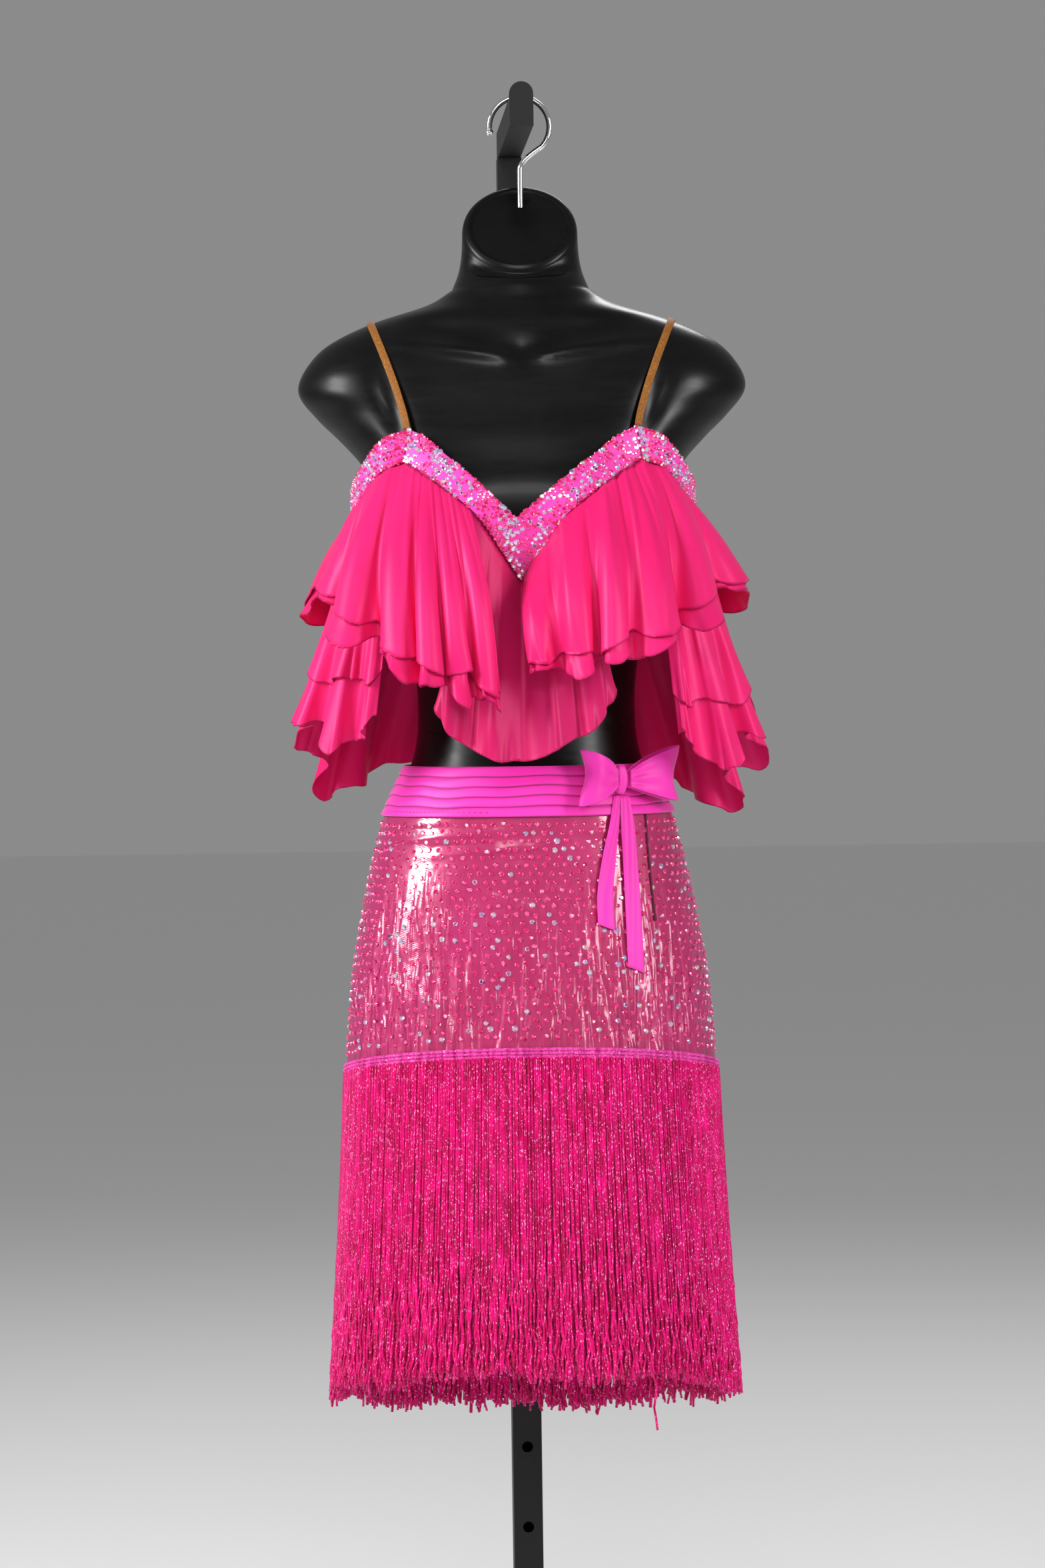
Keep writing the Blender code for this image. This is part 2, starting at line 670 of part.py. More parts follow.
def bodice_front_grid(grow):
    """Rows down from the band's top edge, its bottom edge, then to the bodice's hem.

    Past the V's peaks the columns lead to the side seam, at a fixed angle round the form."""
    half = np.array([0, 0.16, 0.26, 0.36, 0.49, 0.62, 0.86, 1.0, 1.12, 1.25, SIDE_PLACE])
    places = np.concatenate([-half[:0:-1], half])
    rows = []
    for share in BODICE_ROWS:
        rows.append([bodice_front_point(place, share, grow) for place in places])
    return np.array(rows)


def bodice_front_point(place, share, grow):
    at = min(abs(place), 1.0)
    beyond = max(0.0, (abs(place) - 1.0) / (SIDE_PLACE - 1.0))
    top_z = read(BAND_V, "top_z", at) * (1 - beyond) + BODICE_SIDE_TOP * beyond
    low_z = read(BAND_V, "low_z", at) * (1 - beyond) + BODICE_SIDE_LOW * beyond
    top_x = read(BAND_V, "top_x", at) * (1 - beyond) + seam_x(top_z, grow) * beyond
    low_x = read(BAND_V, "low_x", at) * (1 - beyond) + seam_x(low_z, grow) * beyond
    fall = max(0.0, share - 1.0)
    if fall == 0:
        x = top_x + (low_x - top_x) * share
        z = top_z + (low_z - top_z) * share
    else:
        z = low_z + (BODICE_HEM - low_z) * fall
        upper_part = low_x / seam_x(low_z, grow)
        part = upper_part + (abs(place) / SIDE_PLACE - upper_part) * fall
        x = seam_x(z, grow) * part
    x = math.copysign(x, place) + v_lean(at, min(share, 1.0)) * (1 - fall)
    return x, body_front(x, z, grow), z


def v_lean(at, share):
    """How far the V's top edge (0) or bottom edge (1) leans, at a place from tip to peak."""
    return (V_LEAN_TOP + (V_LEAN_LOW - V_LEAN_TOP) * share) * (1 - at) ** V_LEAN_FADE


def seam_x(z, grow):
    return ring_point(FORM, BODICE_SIDE, z, grow)[0]


def bodice_back_grid(grow):
    """From side to side round the back, in the same direction as the front."""
    start = BODICE_SIDE + SIDE_SEAM_TURN
    rows = []
    for share in BODICE_ROWS:
        row = []
        for angle in np.linspace(start, 2 * math.pi - start, 25):
            back = 0.5 - 0.5 * math.cos(angle)
            top = BODICE_SIDE_TOP + (BAND_BACK_TOP - BODICE_SIDE_TOP) * min(1, back * BACK_RISE)
            low = BAND_BACK_LOW
            z = top + (low - top) * share if share <= 1 else low + (BODICE_HEM - low) * (share - 1)
            row.append(form_point(angle, z, grow))
        rows.append(row)
    return np.array(rows)


def bodice():
    wall("bodice_front", bodice_front_grid(BODICE_OUT), bodice_front_grid(BODICE_CLEARANCE), "band")
    wall("bodice_back", bodice_back_grid(BODICE_OUT), bodice_back_grid(BODICE_CLEARANCE), "band")


def band():
    """The beaded band: the V, an arm band at each side, and the back."""
    outer = bodice_front_grid(BAND_OUT)[:2, 3:-3]
    inner = bodice_front_grid(BAND_IN)[:2, 3:-3]
    wall("band_front", outer, inner, "band")
    for name, side in (("band_left", -1), ("band_right", 1)):
        grid = arm_band_grid(side)
        wall(name, moved(grid, BAND_WALL / 2), moved(grid, -BAND_WALL / 2), "band")
    places = np.linspace(BACK_BAND_X, -BACK_BAND_X, 13)
    grids = [np.array([[(x, body_back(x, z, grow), z) for x in places]
                       for z in (BAND_BACK_TOP, BAND_BACK_LOW)])
             for grow in (BACK_BAND_MIDDLE + BAND_WALL / 2, BACK_BAND_MIDDLE - BAND_WALL / 2)]
    wall("band_back", grids[0], grids[1], "band")


def arm_band_point(place, share):
    """A point on the arm band's middle, at its top edge (0) or bottom edge (1)."""
    x, y = read(ARM_BAND, "x", place), read(ARM_BAND, "y", place)
    top, low = read(ARM_BAND, "top_z", place), read(ARM_BAND, "low_z", place)
    z = top + (low - top) * share
    x += BAND_SLANT * (share - 0.5) * max(0.0, 1 - place * 5)
    if place < 0.3:
        y = min(y, body_front(x, z, BAND_MIDDLE))
    if place > 0.8:
        y = max(y, body_back(x, z, BACK_BAND_MIDDLE))
    return x, y, z


def arm_band_grid(side):
    places = np.linspace(0.0, 1.0, 15)
    rows = [[arm_band_point(p, share) for p in places] for share in (0.0, 1.0)]
    grid = np.array(rows)
    if side < 0:
        grid = grid[:, ::-1] * np.array([-1, 1, 1])
    return grid


def form_level(point):
    """1 on the form's surface, more outside it."""
    x, y, z = point
    half_width, middle, depth, power = section(FORM, z)
    if y < middle:
        y += bust(x, z)
    return (abs(x) / half_width) ** power + (abs(y - middle) / depth) ** power


def form_normal(point):
    step = 0.5 * MM
    slopes = []
    for axis in np.eye(3) * step:
        slopes.append(form_level(point + axis) - form_level(point - axis))
    slopes = np.array(slopes)
    return slopes / np.linalg.norm(slopes)


def strap_line(side):
    """Front peak, up over the shoulder and down to the back band, on the form's surface."""
    top = max(z for z in np.linspace(1.36, 1.43, 141) if section(FORM, z)[0] > STRAP_SIDE_X)
    points = []
    for turn in np.linspace(0, math.pi, STRAP_POINTS):
        rise = math.sin(turn)
        front = turn < math.pi / 2
        low, foot = (STRAP_FRONT_Z, STRAP_FRONT_X) if front else (STRAP_BACK_Z, STRAP_BACK_X)
        z = low + (top - low) * rise
        x = foot + (STRAP_SIDE_X - foot) * rise ** 1.2
        y = body_front(x, z) if front else body_back(x, z)
        points.append((side * x, y, z))
    return np.array(points)


def strap(name, side):
    line = strap_line(side)
    outward = np.array([form_normal(p) for p in line])
    turns = np.linspace(0, math.pi, STRAP_POINTS)
    lifts = STRAP_LIFT + STRAP_END_LIFT * (1 - np.sin(turns)) ** 2
    line = line + outward * lifts[:, None]
    along = np.gradient(line, axis=0)
    along /= np.linalg.norm(along, axis=1, keepdims=True)
    across = np.cross(along, outward)
    across /= np.linalg.norm(across, axis=1, keepdims=True)
    rings = []
    for p, o, a in zip(line, outward, across):
        rings.append([p + a * s * STRAP_WIDTH / 2 + o * h * STRAP_WALL
                      for s, h in ((-1, 0), (1, 0), (1, 1), (-1, 1))])
    return add_object(name, loft(rings), "elastic")


# Flounces

def loop_point(place, side):
    """The bottom edge of the loop of bands: the V, the arm band, then the back."""
    if place <= V_END:
        at = place / V_END
        x, z = side * read(BAND_V, "low_x", at) + v_lean(at, 1.0), read(BAND_V, "low_z", at)
        return np.array((x, body_front(x, z, BAND_MIDDLE), z))
    if place <= ARM_END:
        x, y, z = arm_band_point((place - V_END) / (ARM_END - V_END), 1.0)
    else:
        x = BACK_SEAM_X * (1 - place) / (1 - ARM_END)
        z = BAND_BACK_LOW
        y = body_back(x, z, BACK_BAND_MIDDLE)
    return np.array((side * x, y, z))


def flounce_grid(rows, top_points, side, waves, share_rows, phase=0.0, belly=0.010,
                 growth=1.15, stretch=0.25, layer=0.0, drift=HEM_DRIFT):
    """A gathered flounce: straight at its top edge, in full waves at its hem.

    share_rows are the heights of the rows, from 0 at the seam to 1 at the hem. side is 1 on the
    viewer's right and -1 on the left."""
    count = int(waves * COLUMNS_PER_WAVE)
    places = np.linspace(0, 1, count + 1)
    hems = np.array([[side * read(rows, "hem_x", a), read(rows, "hem_y", a),
                      read(rows, "hem_z", a)] for a in places])
    tops = np.array([top_points(a) for a in places])
    drop = hems - tops
    across = np.gradient(hems, axis=0)
    across /= np.linalg.norm(across, axis=1, keepdims=True)
    out = np.cross(across, np.array([0, 0, 1.0])) * side
    out /= np.linalg.norm(out, axis=1, keepdims=True)
    turn = 2 * math.pi * waves * places + phase
    turn += UNEVEN * np.sin(turn * PITCH_BEAT + 1.3)
    height = np.array([read(rows, "wave", a) for a in places])
    height *= 1 + HEIGHT_CHANGE * np.sin(turn * HEIGHT_BEAT + side)
    belly = belly * (1 - SIDE_FLATNESS
                     * np.exp(-((places - SIDE_PLACE_MIDDLE) / SIDE_PLACE_SPREAD) ** 2))
    grid = []
    for even_share in share_rows:
        share = even_share * (1 + drift * np.sin(turn * HEM_BEAT + layer))
        swing = height * share ** growth
        row = tops + drop * share[:, None]
        row += out * (swing * (0.3 - np.cos(turn)))[:, None]
        row += out * (belly * np.sin(math.pi * np.minimum(share, 1.0)))[:, None]
        row += across * (swing * (0.25 * np.sin(2 * turn) - 0.3 * np.sin(turn)))[:, None]
        row[:, 2] -= stretch * swing * (1 - np.cos(turn)) * share
        grid.append(row)
    grid = np.array(grid)
    return grid if side > 0 else grid[:, ::-1]


def flounce_pair(name, make_grid, outset, rows):
    """The outer layer, and the longer one under it, which is made from its points, moved in.

    rows are the heights of the under layer's rows; the outer layer goes without the last."""
    step = FLOUNCE_WALL + LAYER_GAP
    for layer, shares, deeper in (("outer", np.array(rows[:-1]), 0), ("under", np.array(rows), 1)):
        base = make_grid(shares, UNDER_PHASE * deeper)
        facing = normals(base)
        facing[0, :, 2] = 0
        facing /= np.linalg.norm(facing, axis=2, keepdims=True)
        depth = outset - deeper * (step + UNDER_SPREAD * np.clip(shares, 0, 1))
        outer = base + facing * depth[:, None, None]
        inner = base + facing * (depth - FLOUNCE_WALL)[:, None, None]
        wall(f"{name}_{layer}", outer, inner, "satin")


def below_band(rows, side, at):
    place = min(max(read(rows, "loop", at), LOOP_FIRST), LOOP_LAST)
    return loop_point(place, side) - np.array((0, 0, FLOUNCE_DROP))


def upper_flounces():
    for name, side, rows in (("upper_flounce_left", -1, UPPER_LEFT),
                             ("upper_flounce_right", 1, UPPER_RIGHT)):
        def grid(shares, layer, rows=rows, side=side):
            return flounce_grid(rows, lambda at: below_band(rows, side, at), side, UPPER_WAVES,
                                shares, belly=UPPER_BELLY, layer=layer)

        flounce_pair(name, grid, UPPER_OUTSET, UPPER_ROWS)


def lower_flounces():
    for name, side in (("lower_flounce_left", -1), ("lower_flounce_right", 1)):
        def grid(shares, layer, side=side):
            return flounce_grid(LOWER_SIDE, lambda at: below_band(LOWER_SIDE, side, at), side,
                                LOWER_WAVES, shares, phase=1.0, belly=0.0, growth=1.9,
                                layer=layer)

        flounce_pair(name, grid, LOWER_OUTSET, LOWER_ROWS[name])


def front_panel():
    """The smooth panel that hangs from the V behind the upper flounces."""
    outside = BODICE_OUT + LAYER_GAP + FLOUNCE_WALL

    def top(at):
        place = read(LOWER_FRONT, "place", at)
        x = math.copysign(read(BAND_V, "low_x", abs(place)), place) + v_lean(abs(place), 1.0)
        z = read(BAND_V, "low_z", abs(place)) - PANEL_DROP
        return np.array((x, body_front(x, z, outside), z))

    shares = np.linspace(0, 1, PANEL_ROWS)
    base = flounce_grid(LOWER_FRONT, top, 1, PANEL_WAVES, shares, belly=PANEL_BELLY, stretch=0.2,
                        drift=0.0)
    wall("front_panel", base, moved(base, -FLOUNCE_WALL), "satin")


# Skirt, sash and fringe

def dip(angle):
    return SASH_DIP * (0.5 + 0.5 * math.cos(angle))


def header_top(angle):
    return HEADER_SIDE_Z + HEADER_TILT * math.cos(angle)


def skirt_rows(angle):
    """The heights of a skirt column's points, from under the sash to behind the fringe."""
    top, low = SASH_TOP - 1.5 * MM - dip(angle), SASH_BOTTOM - dip(angle)
    bottom = header_top(angle) - HEADER_HEIGHT + 1.5 * MM
    return [top, (top + low) / 2, low] + list(np.linspace(low, bottom, 6)[1:])


def half_turn(front, seam):
    """Angles across the front or the back, between the side seams."""
    edge = math.pi / 2 - seam
    angles = np.linspace(-edge, edge, SKIRT_COLUMNS + 1)
    return angles if front else angles + math.pi


def skirt():
    for name, front in (("skirt_front", True), ("skirt_back", False)):
        angles = half_turn(front, SKIRT_SEAM)
        grids = [np.array([[skirt_point(a, z, grow) for a, z in
                            zip(angles, heights)] for heights in
                           zip(*[skirt_rows(a) for a in angles])]) for grow in (0.0, -SKIRT_WALL)]
        wall(name, grids[0], grids[1], "foil")


def sash():
    """Five soft pleats, one above the other, each with a crisp lower edge."""
    profile = [(0.0, 0.0)]
    for pleat in range(PLEATS):
        start = pleat / PLEATS
        for step, rise in ((0.86, 1.0), (1.0, 0.0)):
            profile.append((start + step / PLEATS, rise))
    for name, front in (("sash_front", True), ("sash_back", False)):
        angles = half_turn(front, SASH_SEAM)
        outer, inner = [], []
        for share, rise in profile:
            row_out, row_in = [], []
            for angle in angles:
                top, low = SASH_TOP - dip(angle), SASH_BOTTOM - dip(angle)
                z = top + (low - top) * share
                row_out.append(skirt_point(angle, z, LAYER_GAP + SASH_BASE + PLEAT_RISE * rise))
                row_in.append(skirt_point(angle, z, LAYER_GAP))
            outer.append(row_out)
            inner.append(row_in)
        sash_wall(name, np.array(outer), np.array(inner))


def sash_wall(name, outer, inner):
    """A wall whose inside has only its first, middle and last rows."""
    rows, columns = outer.shape[:2]
    kept = [0, rows // 2, rows - 1]
    work = bmesh.new()
    out = [[work.verts.new(p) for p in row] for row in outer]
    inn = [[work.verts.new(p) for p in inner[r]] for r in kept]
    for grid in (out, inn):
        for upper, lower in zip(grid, grid[1:]):
            for c in range(columns - 1):
                work.faces.new((upper[c], lower[c], lower[c + 1], upper[c + 1]))
    for a, b in ((out[0], inn[0]), (out[-1], inn[-1])):
        for c in range(columns - 1):
            work.faces.new((a[c], a[c + 1], b[c + 1], b[c]))
    for c in (0, columns - 1):
        work.faces.new([row[c] for row in out] + [row[c] for row in reversed(inn)])
    return add_object(name, work, "sash")


def strand_length(index, angle):
    """Longer at the back, with uneven ends: a slow wave and a quick one."""
    uneven = 0.004 * math.sin(index * 2.4) + 0.003 * math.sin(index * 5.3 + 1)
    return FRINGE_LENGTH - FRINGE_LONGER_BACK * math.cos(angle) + uneven


def fringe():
    """The header with three-sided strands under it, fused at their roots."""
    work = bmesh.new()
    out_grow, in_grow = HEADER_GAP + HEADER_WALL, HEADER_GAP
    each = STRANDS // HEADER_COLUMNS
    angle_of = even_angles(HEADER_SIDE_Z, STRANDS)
    outer, inner, tops_out, tops_in = [], [], [], []
    for i in range(STRANDS):
        middle = angle_of[i]
        step = (angle_of[(i + 1) % STRANDS] - middle) % (2 * math.pi)
        low = header_top(middle) - HEADER_HEIGHT
        for turn in (0, step * STRAND_ROOT):
            outer.append(work.verts.new(skirt_point(middle + turn, low, out_grow)))
        inner.append(work.verts.new(skirt_point(middle + step * STRAND_ROOT / 2, low, in_grow)))
        if i % each == 0:
            high = header_top(middle)
            tops_out.append(work.verts.new(skirt_point(middle, high, out_grow)))
            tops_in.append(work.verts.new(skirt_point(middle, high, in_grow)))
    for i in range(STRANDS):
        root = (outer[2 * i], outer[2 * i + 1], inner[i])
        strand(work, root, strand_length(i, angle_of[i]))
        after = (i + 1) % STRANDS
        work.faces.new((outer[2 * i + 1], outer[2 * after], inner[after], inner[i]))
    for k in range(HEADER_COLUMNS):
        n = (k + 1) % HEADER_COLUMNS
        low_out = [outer[j % len(outer)] for j in range(2 * each * k, 2 * each * (k + 1) + 1)]
        low_in = [inner[j % len(inner)] for j in range(each * k, each * (k + 1) + 1)]
        fan(work, low_out, tops_out[k], tops_out[n])
        fan(work, low_in, tops_in[k], tops_in[n])
        work.faces.new((tops_out[k], tops_out[n], tops_in[n], tops_in[k]))
    return add_object("fringe", work, "fringe")


def fan(work, low, high_a, high_b):
    """Triangles between a row of points and the two points above its ends."""
    half = len(low) // 2
    for a, b in zip(low[:half + 1], low[1:half + 1]):
        work.faces.new((a, b, high_a))
    work.faces.new((low[half], high_b, high_a))
    for a, b in zip(low[half:], low[half + 1:]):
        work.faces.new((a, b, high_b))


def even_angles(z, count):
    """Angles whose points are an equal way apart round the skirt."""
    fine = np.linspace(0, 2 * math.pi, 2001)
    points = np.array([skirt_point(a, z) for a in fine])
    steps = np.linalg.norm(np.diff(points, axis=0), axis=1)
    travelled = np.concatenate([[0], np.cumsum(steps)])
    return np.interp(np.linspace(0, travelled[-1], count, endpoint=False), travelled, fine)


def strand(work, root, length):
    centre = sum((v.co for v in root), Vector()) / 3
    away = Vector((centre.x, centre.y, 0)).normalized()
    end = centre + away * FRINGE_FLARE - Vector((0, 0, length))
    tip = []
    for vert in root:
        tip.append(work.verts.new(end + (vert.co - centre) * STRAND_TAPER))
    for a in range(3):
        b = (a + 1) % 3
        work.faces.new((root[a], root[b], tip[b], tip[a]))
    work.faces.new(tip)


# Bow

def bow_frame():
    y = depth_at(SKIRT, BOW_X, BOW_Z, LAYER_GAP + SASH_BASE + PLEAT_RISE + BOW_GAP)
    right = Vector((math.cos(BOW_YAW), math.sin(BOW_YAW), 0))
    out = Vector((math.sin(BOW_YAW), -math.cos(BOW_YAW), 0))
    return Vector((BOW_X, y, BOW_Z)), right, out


def bow_loop(name, side, length, lift):
    """A ribbon that runs out from the knot, turns and comes back behind itself."""
    origin, right, out = bow_frame()
    start = KNOT_SIZE[0] / 2 + BOW_GAP
    grid = []
    count = len(LOOP_SHAPE["along"])
    fine = np.linspace(0, count - 1, 14)
    stations = np.arange(count, dtype=float)
    for height in np.linspace(1, -1, 4):
        row = []
        for at in fine:
            along = smooth(stations, LOOP_SHAPE["along"], at)
            rise = smooth(stations, LOOP_SHAPE["half_height"], at) * height
            rise += smooth(stations, LOOP_SHAPE["lift"], at) + lift * along
            reach = side * (start + length * along)
            depth = smooth(stations, LOOP_SHAPE["out"], at) + BOW_LIFT
            row.append(origin + right * reach + out * depth + Vector((0, 0, rise)))
        grid.append(row)
    grid = np.array(grid)
    if side > 0:
        grid = grid[:, ::-1]
    half = RIBBON_WALL / 2
    wall(name, moved(grid, half), moved(grid, -half), "sash")


def bow_knot():
    origin, right, out = bow_frame()
    work = bmesh.new()
    bmesh.ops.create_uvsphere(work, u_segments=12, v_segments=8, radius=0.5)
    bmesh.ops.scale(work, vec=KNOT_SIZE, verts=work.verts)
    centre = origin + out * (KNOT_SIZE[1] / 2 + KNOT_GAP)
    place = Matrix.Translation(centre) @ Matrix.Rotation(BOW_YAW, 4, "Z")
    bmesh.ops.transform(work, matrix=place, verts=work.verts)
    return add_object("bow_knot", work, "sash")


def bow_tails():
    for name, rows in TAILS.items():
        heights = np.linspace(rows["z"][0], rows["z"][-1], 9)
        grid = []
        for z in heights:
            at = -z
            x = smooth(-rows["z"], rows["x"], at)
            half = smooth(-rows["z"], rows["half_width"], at)
            lift = smooth(-rows["z"], rows["stand_off"], at)
            edges = [x - half, x, x + half]
            drop = TAIL_SLANT if z == heights[-1] else 0.0
            grid.append([(e, depth_at(SKIRT, e, z, lift), z - drop * k / 2)
                         for k, e in enumerate(edges)])
        grid = np.array(grid)
        wall(name, grid, moved(grid, -RIBBON_WALL), "sash")


def main():
    clear_scene()
    stand()
    hook()
    form()
    bodice()
    band()
    strap("strap_left", -1)
    strap("strap_right", 1)
    upper_flounces()
    lower_flounces()
    front_panel()
    skirt()
    sash()
    fringe()
    bow_loop("bow_loop_left", -1, LEFT_LOOP, 0.0)
    bow_loop("bow_loop_right", 1, RIGHT_LOOP, RIGHT_LOOP_LIFT)
    bow_knot()
    bow_tails()


main()
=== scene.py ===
"""Looks of a latin dance costume on a hanging torso form: satin flounces, a band of stones,
a foil skirt with a pleated sash and bow, and a long fringe.

Metres, +Z up. The costume faces -Y and +X is the viewer's right. Angles round the body start
at the front and grow towards +X.
"""
import math

import bpy
import numpy as np
from mathutils import Matrix, Vector


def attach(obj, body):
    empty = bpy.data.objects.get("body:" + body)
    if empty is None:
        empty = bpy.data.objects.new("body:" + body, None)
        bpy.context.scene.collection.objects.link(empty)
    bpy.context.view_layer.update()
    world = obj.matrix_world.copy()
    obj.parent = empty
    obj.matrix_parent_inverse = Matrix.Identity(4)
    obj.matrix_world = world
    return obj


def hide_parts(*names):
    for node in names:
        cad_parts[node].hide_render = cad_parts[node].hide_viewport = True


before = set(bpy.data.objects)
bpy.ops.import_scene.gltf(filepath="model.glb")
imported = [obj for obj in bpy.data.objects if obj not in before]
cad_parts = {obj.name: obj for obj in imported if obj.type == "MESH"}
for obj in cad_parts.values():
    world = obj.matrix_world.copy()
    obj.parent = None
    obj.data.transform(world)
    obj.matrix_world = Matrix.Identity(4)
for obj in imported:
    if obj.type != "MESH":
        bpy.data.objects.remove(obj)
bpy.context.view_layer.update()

MM = 0.001
SEED = 11

# Sizes repeated from the part
SEAM_GAP = 0.3 * MM
LAYER_GAP = 0.45 * MM
FLOUNCE_WALL = 1.1 * MM
BODICE_WALL = 1.3 * MM
BODICE_CLEARANCE = 2.6 * MM
BODICE_OUT = BODICE_CLEARANCE + BODICE_WALL
BAND_WALL = 2.6 * MM
BAND_IN = BODICE_OUT + 1.0 * MM
BAND_OUT = BAND_IN + BAND_WALL
BAND_MIDDLE = (BAND_IN + BAND_OUT) / 2
BACK_BAND_MIDDLE = BODICE_OUT + 3.1 * MM + BAND_WALL / 2
BODICE_SIDE = math.radians(70)
BODICE_HEM = 1.108
BODICE_SIDE_TOP = 1.240
SIDE_PLACE = 1.36
FLOUNCE_DROP = 2.4 * MM
PANEL_DROP = 2.0 * MM
UNDER_SPREAD = 1.7 * MM
UNEVEN = 0.5
SIDE_PLACE_MIDDLE = 0.66
SIDE_PLACE_SPREAD = 0.22
SIDE_FLATNESS = 0.85
HEM_DRIFT = 0.035

BUST_HEIGHT = 1.205
BUST_X = 0.064
BUST_RISE = 0.011
BUST_SPREAD_X = 0.052
BUST_SPREAD_Z = 0.052
FORM_BUST_SHARE = 0.5

HOOK_X, HOOK_Y = 0.0010, 0.020
ARM_WIDTH = 0.022
ARM_TOP = 1.6060
WIRE_RADIUS = 0.0026
HOOK_RADIUS = 0.028
HOOK_REST = math.sqrt((HOOK_RADIUS - WIRE_RADIUS) ** 2 - (ARM_WIDTH / 2) ** 2)
HOOK_CENTRE_Z = ARM_TOP + 2 * SEAM_GAP - HOOK_REST
SHANK_TOP_Z = 1.5430
SHANK_BOTTOM_Z = 1.4990
BALL_RADIUS = 0.0036


def table(columns, *rows):
    """A table with named columns, as one array for each name."""
    return dict(zip(columns.split(), np.array(rows, dtype=float).T))


# The form from hips to neck
FORM = table(
    "z half_width front back power",
    (0.800, 0.1400, 0.094, 0.104, 2.2),
    (0.860, 0.1430, 0.097, 0.110, 2.2),
    (0.900, 0.1395, 0.097, 0.110, 2.2),
    (0.943, 0.1295, 0.094, 0.103, 2.2),
    (0.968, 0.1175, 0.090, 0.092, 2.2),
    (0.995, 0.1060, 0.085, 0.081, 2.2),
    (1.045, 0.1005, 0.080, 0.071, 2.2),
    (1.100, 0.1070, 0.086, 0.075, 2.2),
    (1.150, 0.1190, 0.097, 0.082, 2.2),
    (1.200, 0.1330, 0.109, 0.090, 2.3),
    (1.240, 0.1410, 0.109, 0.096, 2.4),
    (1.265, 0.1480, 0.102, 0.099, 2.4),
    (1.290, 0.1690, 0.095, 0.100, 2.3),
    (1.312, 0.1910, 0.087, 0.099, 2.2),
    (1.336, 0.2080, 0.079, 0.096, 2.2),
    (1.360, 0.2000, 0.071, 0.090, 2.2),
    (1.382, 0.1770, 0.063, 0.082, 2.1),
    (1.402, 0.1330, 0.055, 0.074, 2.1),
    (1.416, 0.0880, 0.048, 0.068, 2.0),
    (1.430, 0.0640, 0.044, 0.063, 2.0))

NECK = table(
    "y z half_width half_depth lean",
    (0.010, 1.446, 0.0578, 0.0520, 12.0),
    (0.010, 1.460, 0.0550, 0.0520, 30.0),
    (0.009, 1.474, 0.0540, 0.0530, 45.0),
    (0.006, 1.484, 0.0535, 0.0530, 54.0),
    (0.0035, 1.4872, 0.0515, 0.0512, 55.0),
    (0.0018, 1.4885, 0.0478, 0.0475, 55.0))

# The skirt's outside from the sash down
SKIRT = table(
    "z half_width front back power",
    (0.650, 0.1735, 0.120, 0.128, 2.3),
    (0.711, 0.1715, 0.117, 0.126, 2.3),
    (0.760, 0.1685, 0.113, 0.125, 2.3),
    (0.800, 0.1645, 0.110, 0.124, 2.3),
    (0.848, 0.1560, 0.107, 0.121, 2.3),
    (0.884, 0.1490, 0.104, 0.117, 2.25),
    (0.915, 0.1415, 0.101, 0.112, 2.2),
    (0.943, 0.1335, 0.098, 0.107, 2.2),
    (0.968, 0.1215, 0.094, 0.096, 2.2),
    (0.995, 0.1095, 0.0885, 0.085, 2.2))

# The band loop, right half, from the V's tip to the centre back
BAND_V = table(
    "along top_x top_z low_x low_z",
    (0.00, 0.000, 1.2095, 0.000, 1.1555),
    (0.16, 0.018, 1.2255, 0.017, 1.1800),
    (0.36, 0.040, 1.2455, 0.037, 1.2085),
    (0.62, 0.068, 1.2690, 0.070, 1.2380),
    (0.86, 0.092, 1.2885, 0.094, 1.2565),
    (1.00, 0.104, 1.2940, 0.108, 1.2655))

ARM_BAND = table(
    "along x y top_z low_z",
    (0.00, 0.1065, -0.0865, 1.2930, 1.2645),
    (0.20, 0.1290, -0.0830, 1.2840, 1.2560),
    (0.38, 0.1470, -0.0600, 1.2620, 1.2360),
    (0.55, 0.1570, -0.0200, 1.2480, 1.2230),
    (0.70, 0.1570, 0.0250, 1.2460, 1.2210),
    (0.85, 0.1330, 0.0620, 1.2480, 1.2230),
    (1.00, 0.0950, 0.0800, 1.2500, 1.2250))

BAND_BACK_TOP = 1.250
BAND_BACK_LOW = 1.225
BAND_SLANT = 0.004
V_END, ARM_END = 0.45, 0.84
V_LEAN_TOP, V_LEAN_LOW, V_LEAN_FADE = -0.0070, -0.0030, 1.5
LOOP_FIRST, LOOP_LAST = 0.02, 0.996

# Flounces: for each station, the place on the band loop, the hem and the waves' height
UPPER_RIGHT = table(
    "along loop hem_x hem_y hem_z wave",
    (0.00, 0.00, 0.002, -0.1580, 1.080, 0.003),
    (0.12, 0.12, 0.032, -0.1650, 1.083, 0.009),
    (0.26, 0.28, 0.076, -0.1680, 1.094, 0.011),
    (0.38, 0.40, 0.112, -0.1590, 1.108, 0.012),
    (0.48, 0.49, 0.148, -0.1330, 1.128, 0.015),
    (0.58, 0.57, 0.178, -0.0840, 1.156, 0.013),
    (0.68, 0.66, 0.193, -0.0180, 1.162, 0.010),
    (0.80, 0.79, 0.182, 0.0760, 1.128, 0.010),
    (0.91, 0.90, 0.112, 0.1360, 1.100, 0.010),
    (1.00, 1.00, 0.004, 0.1500, 1.090, 0.004))

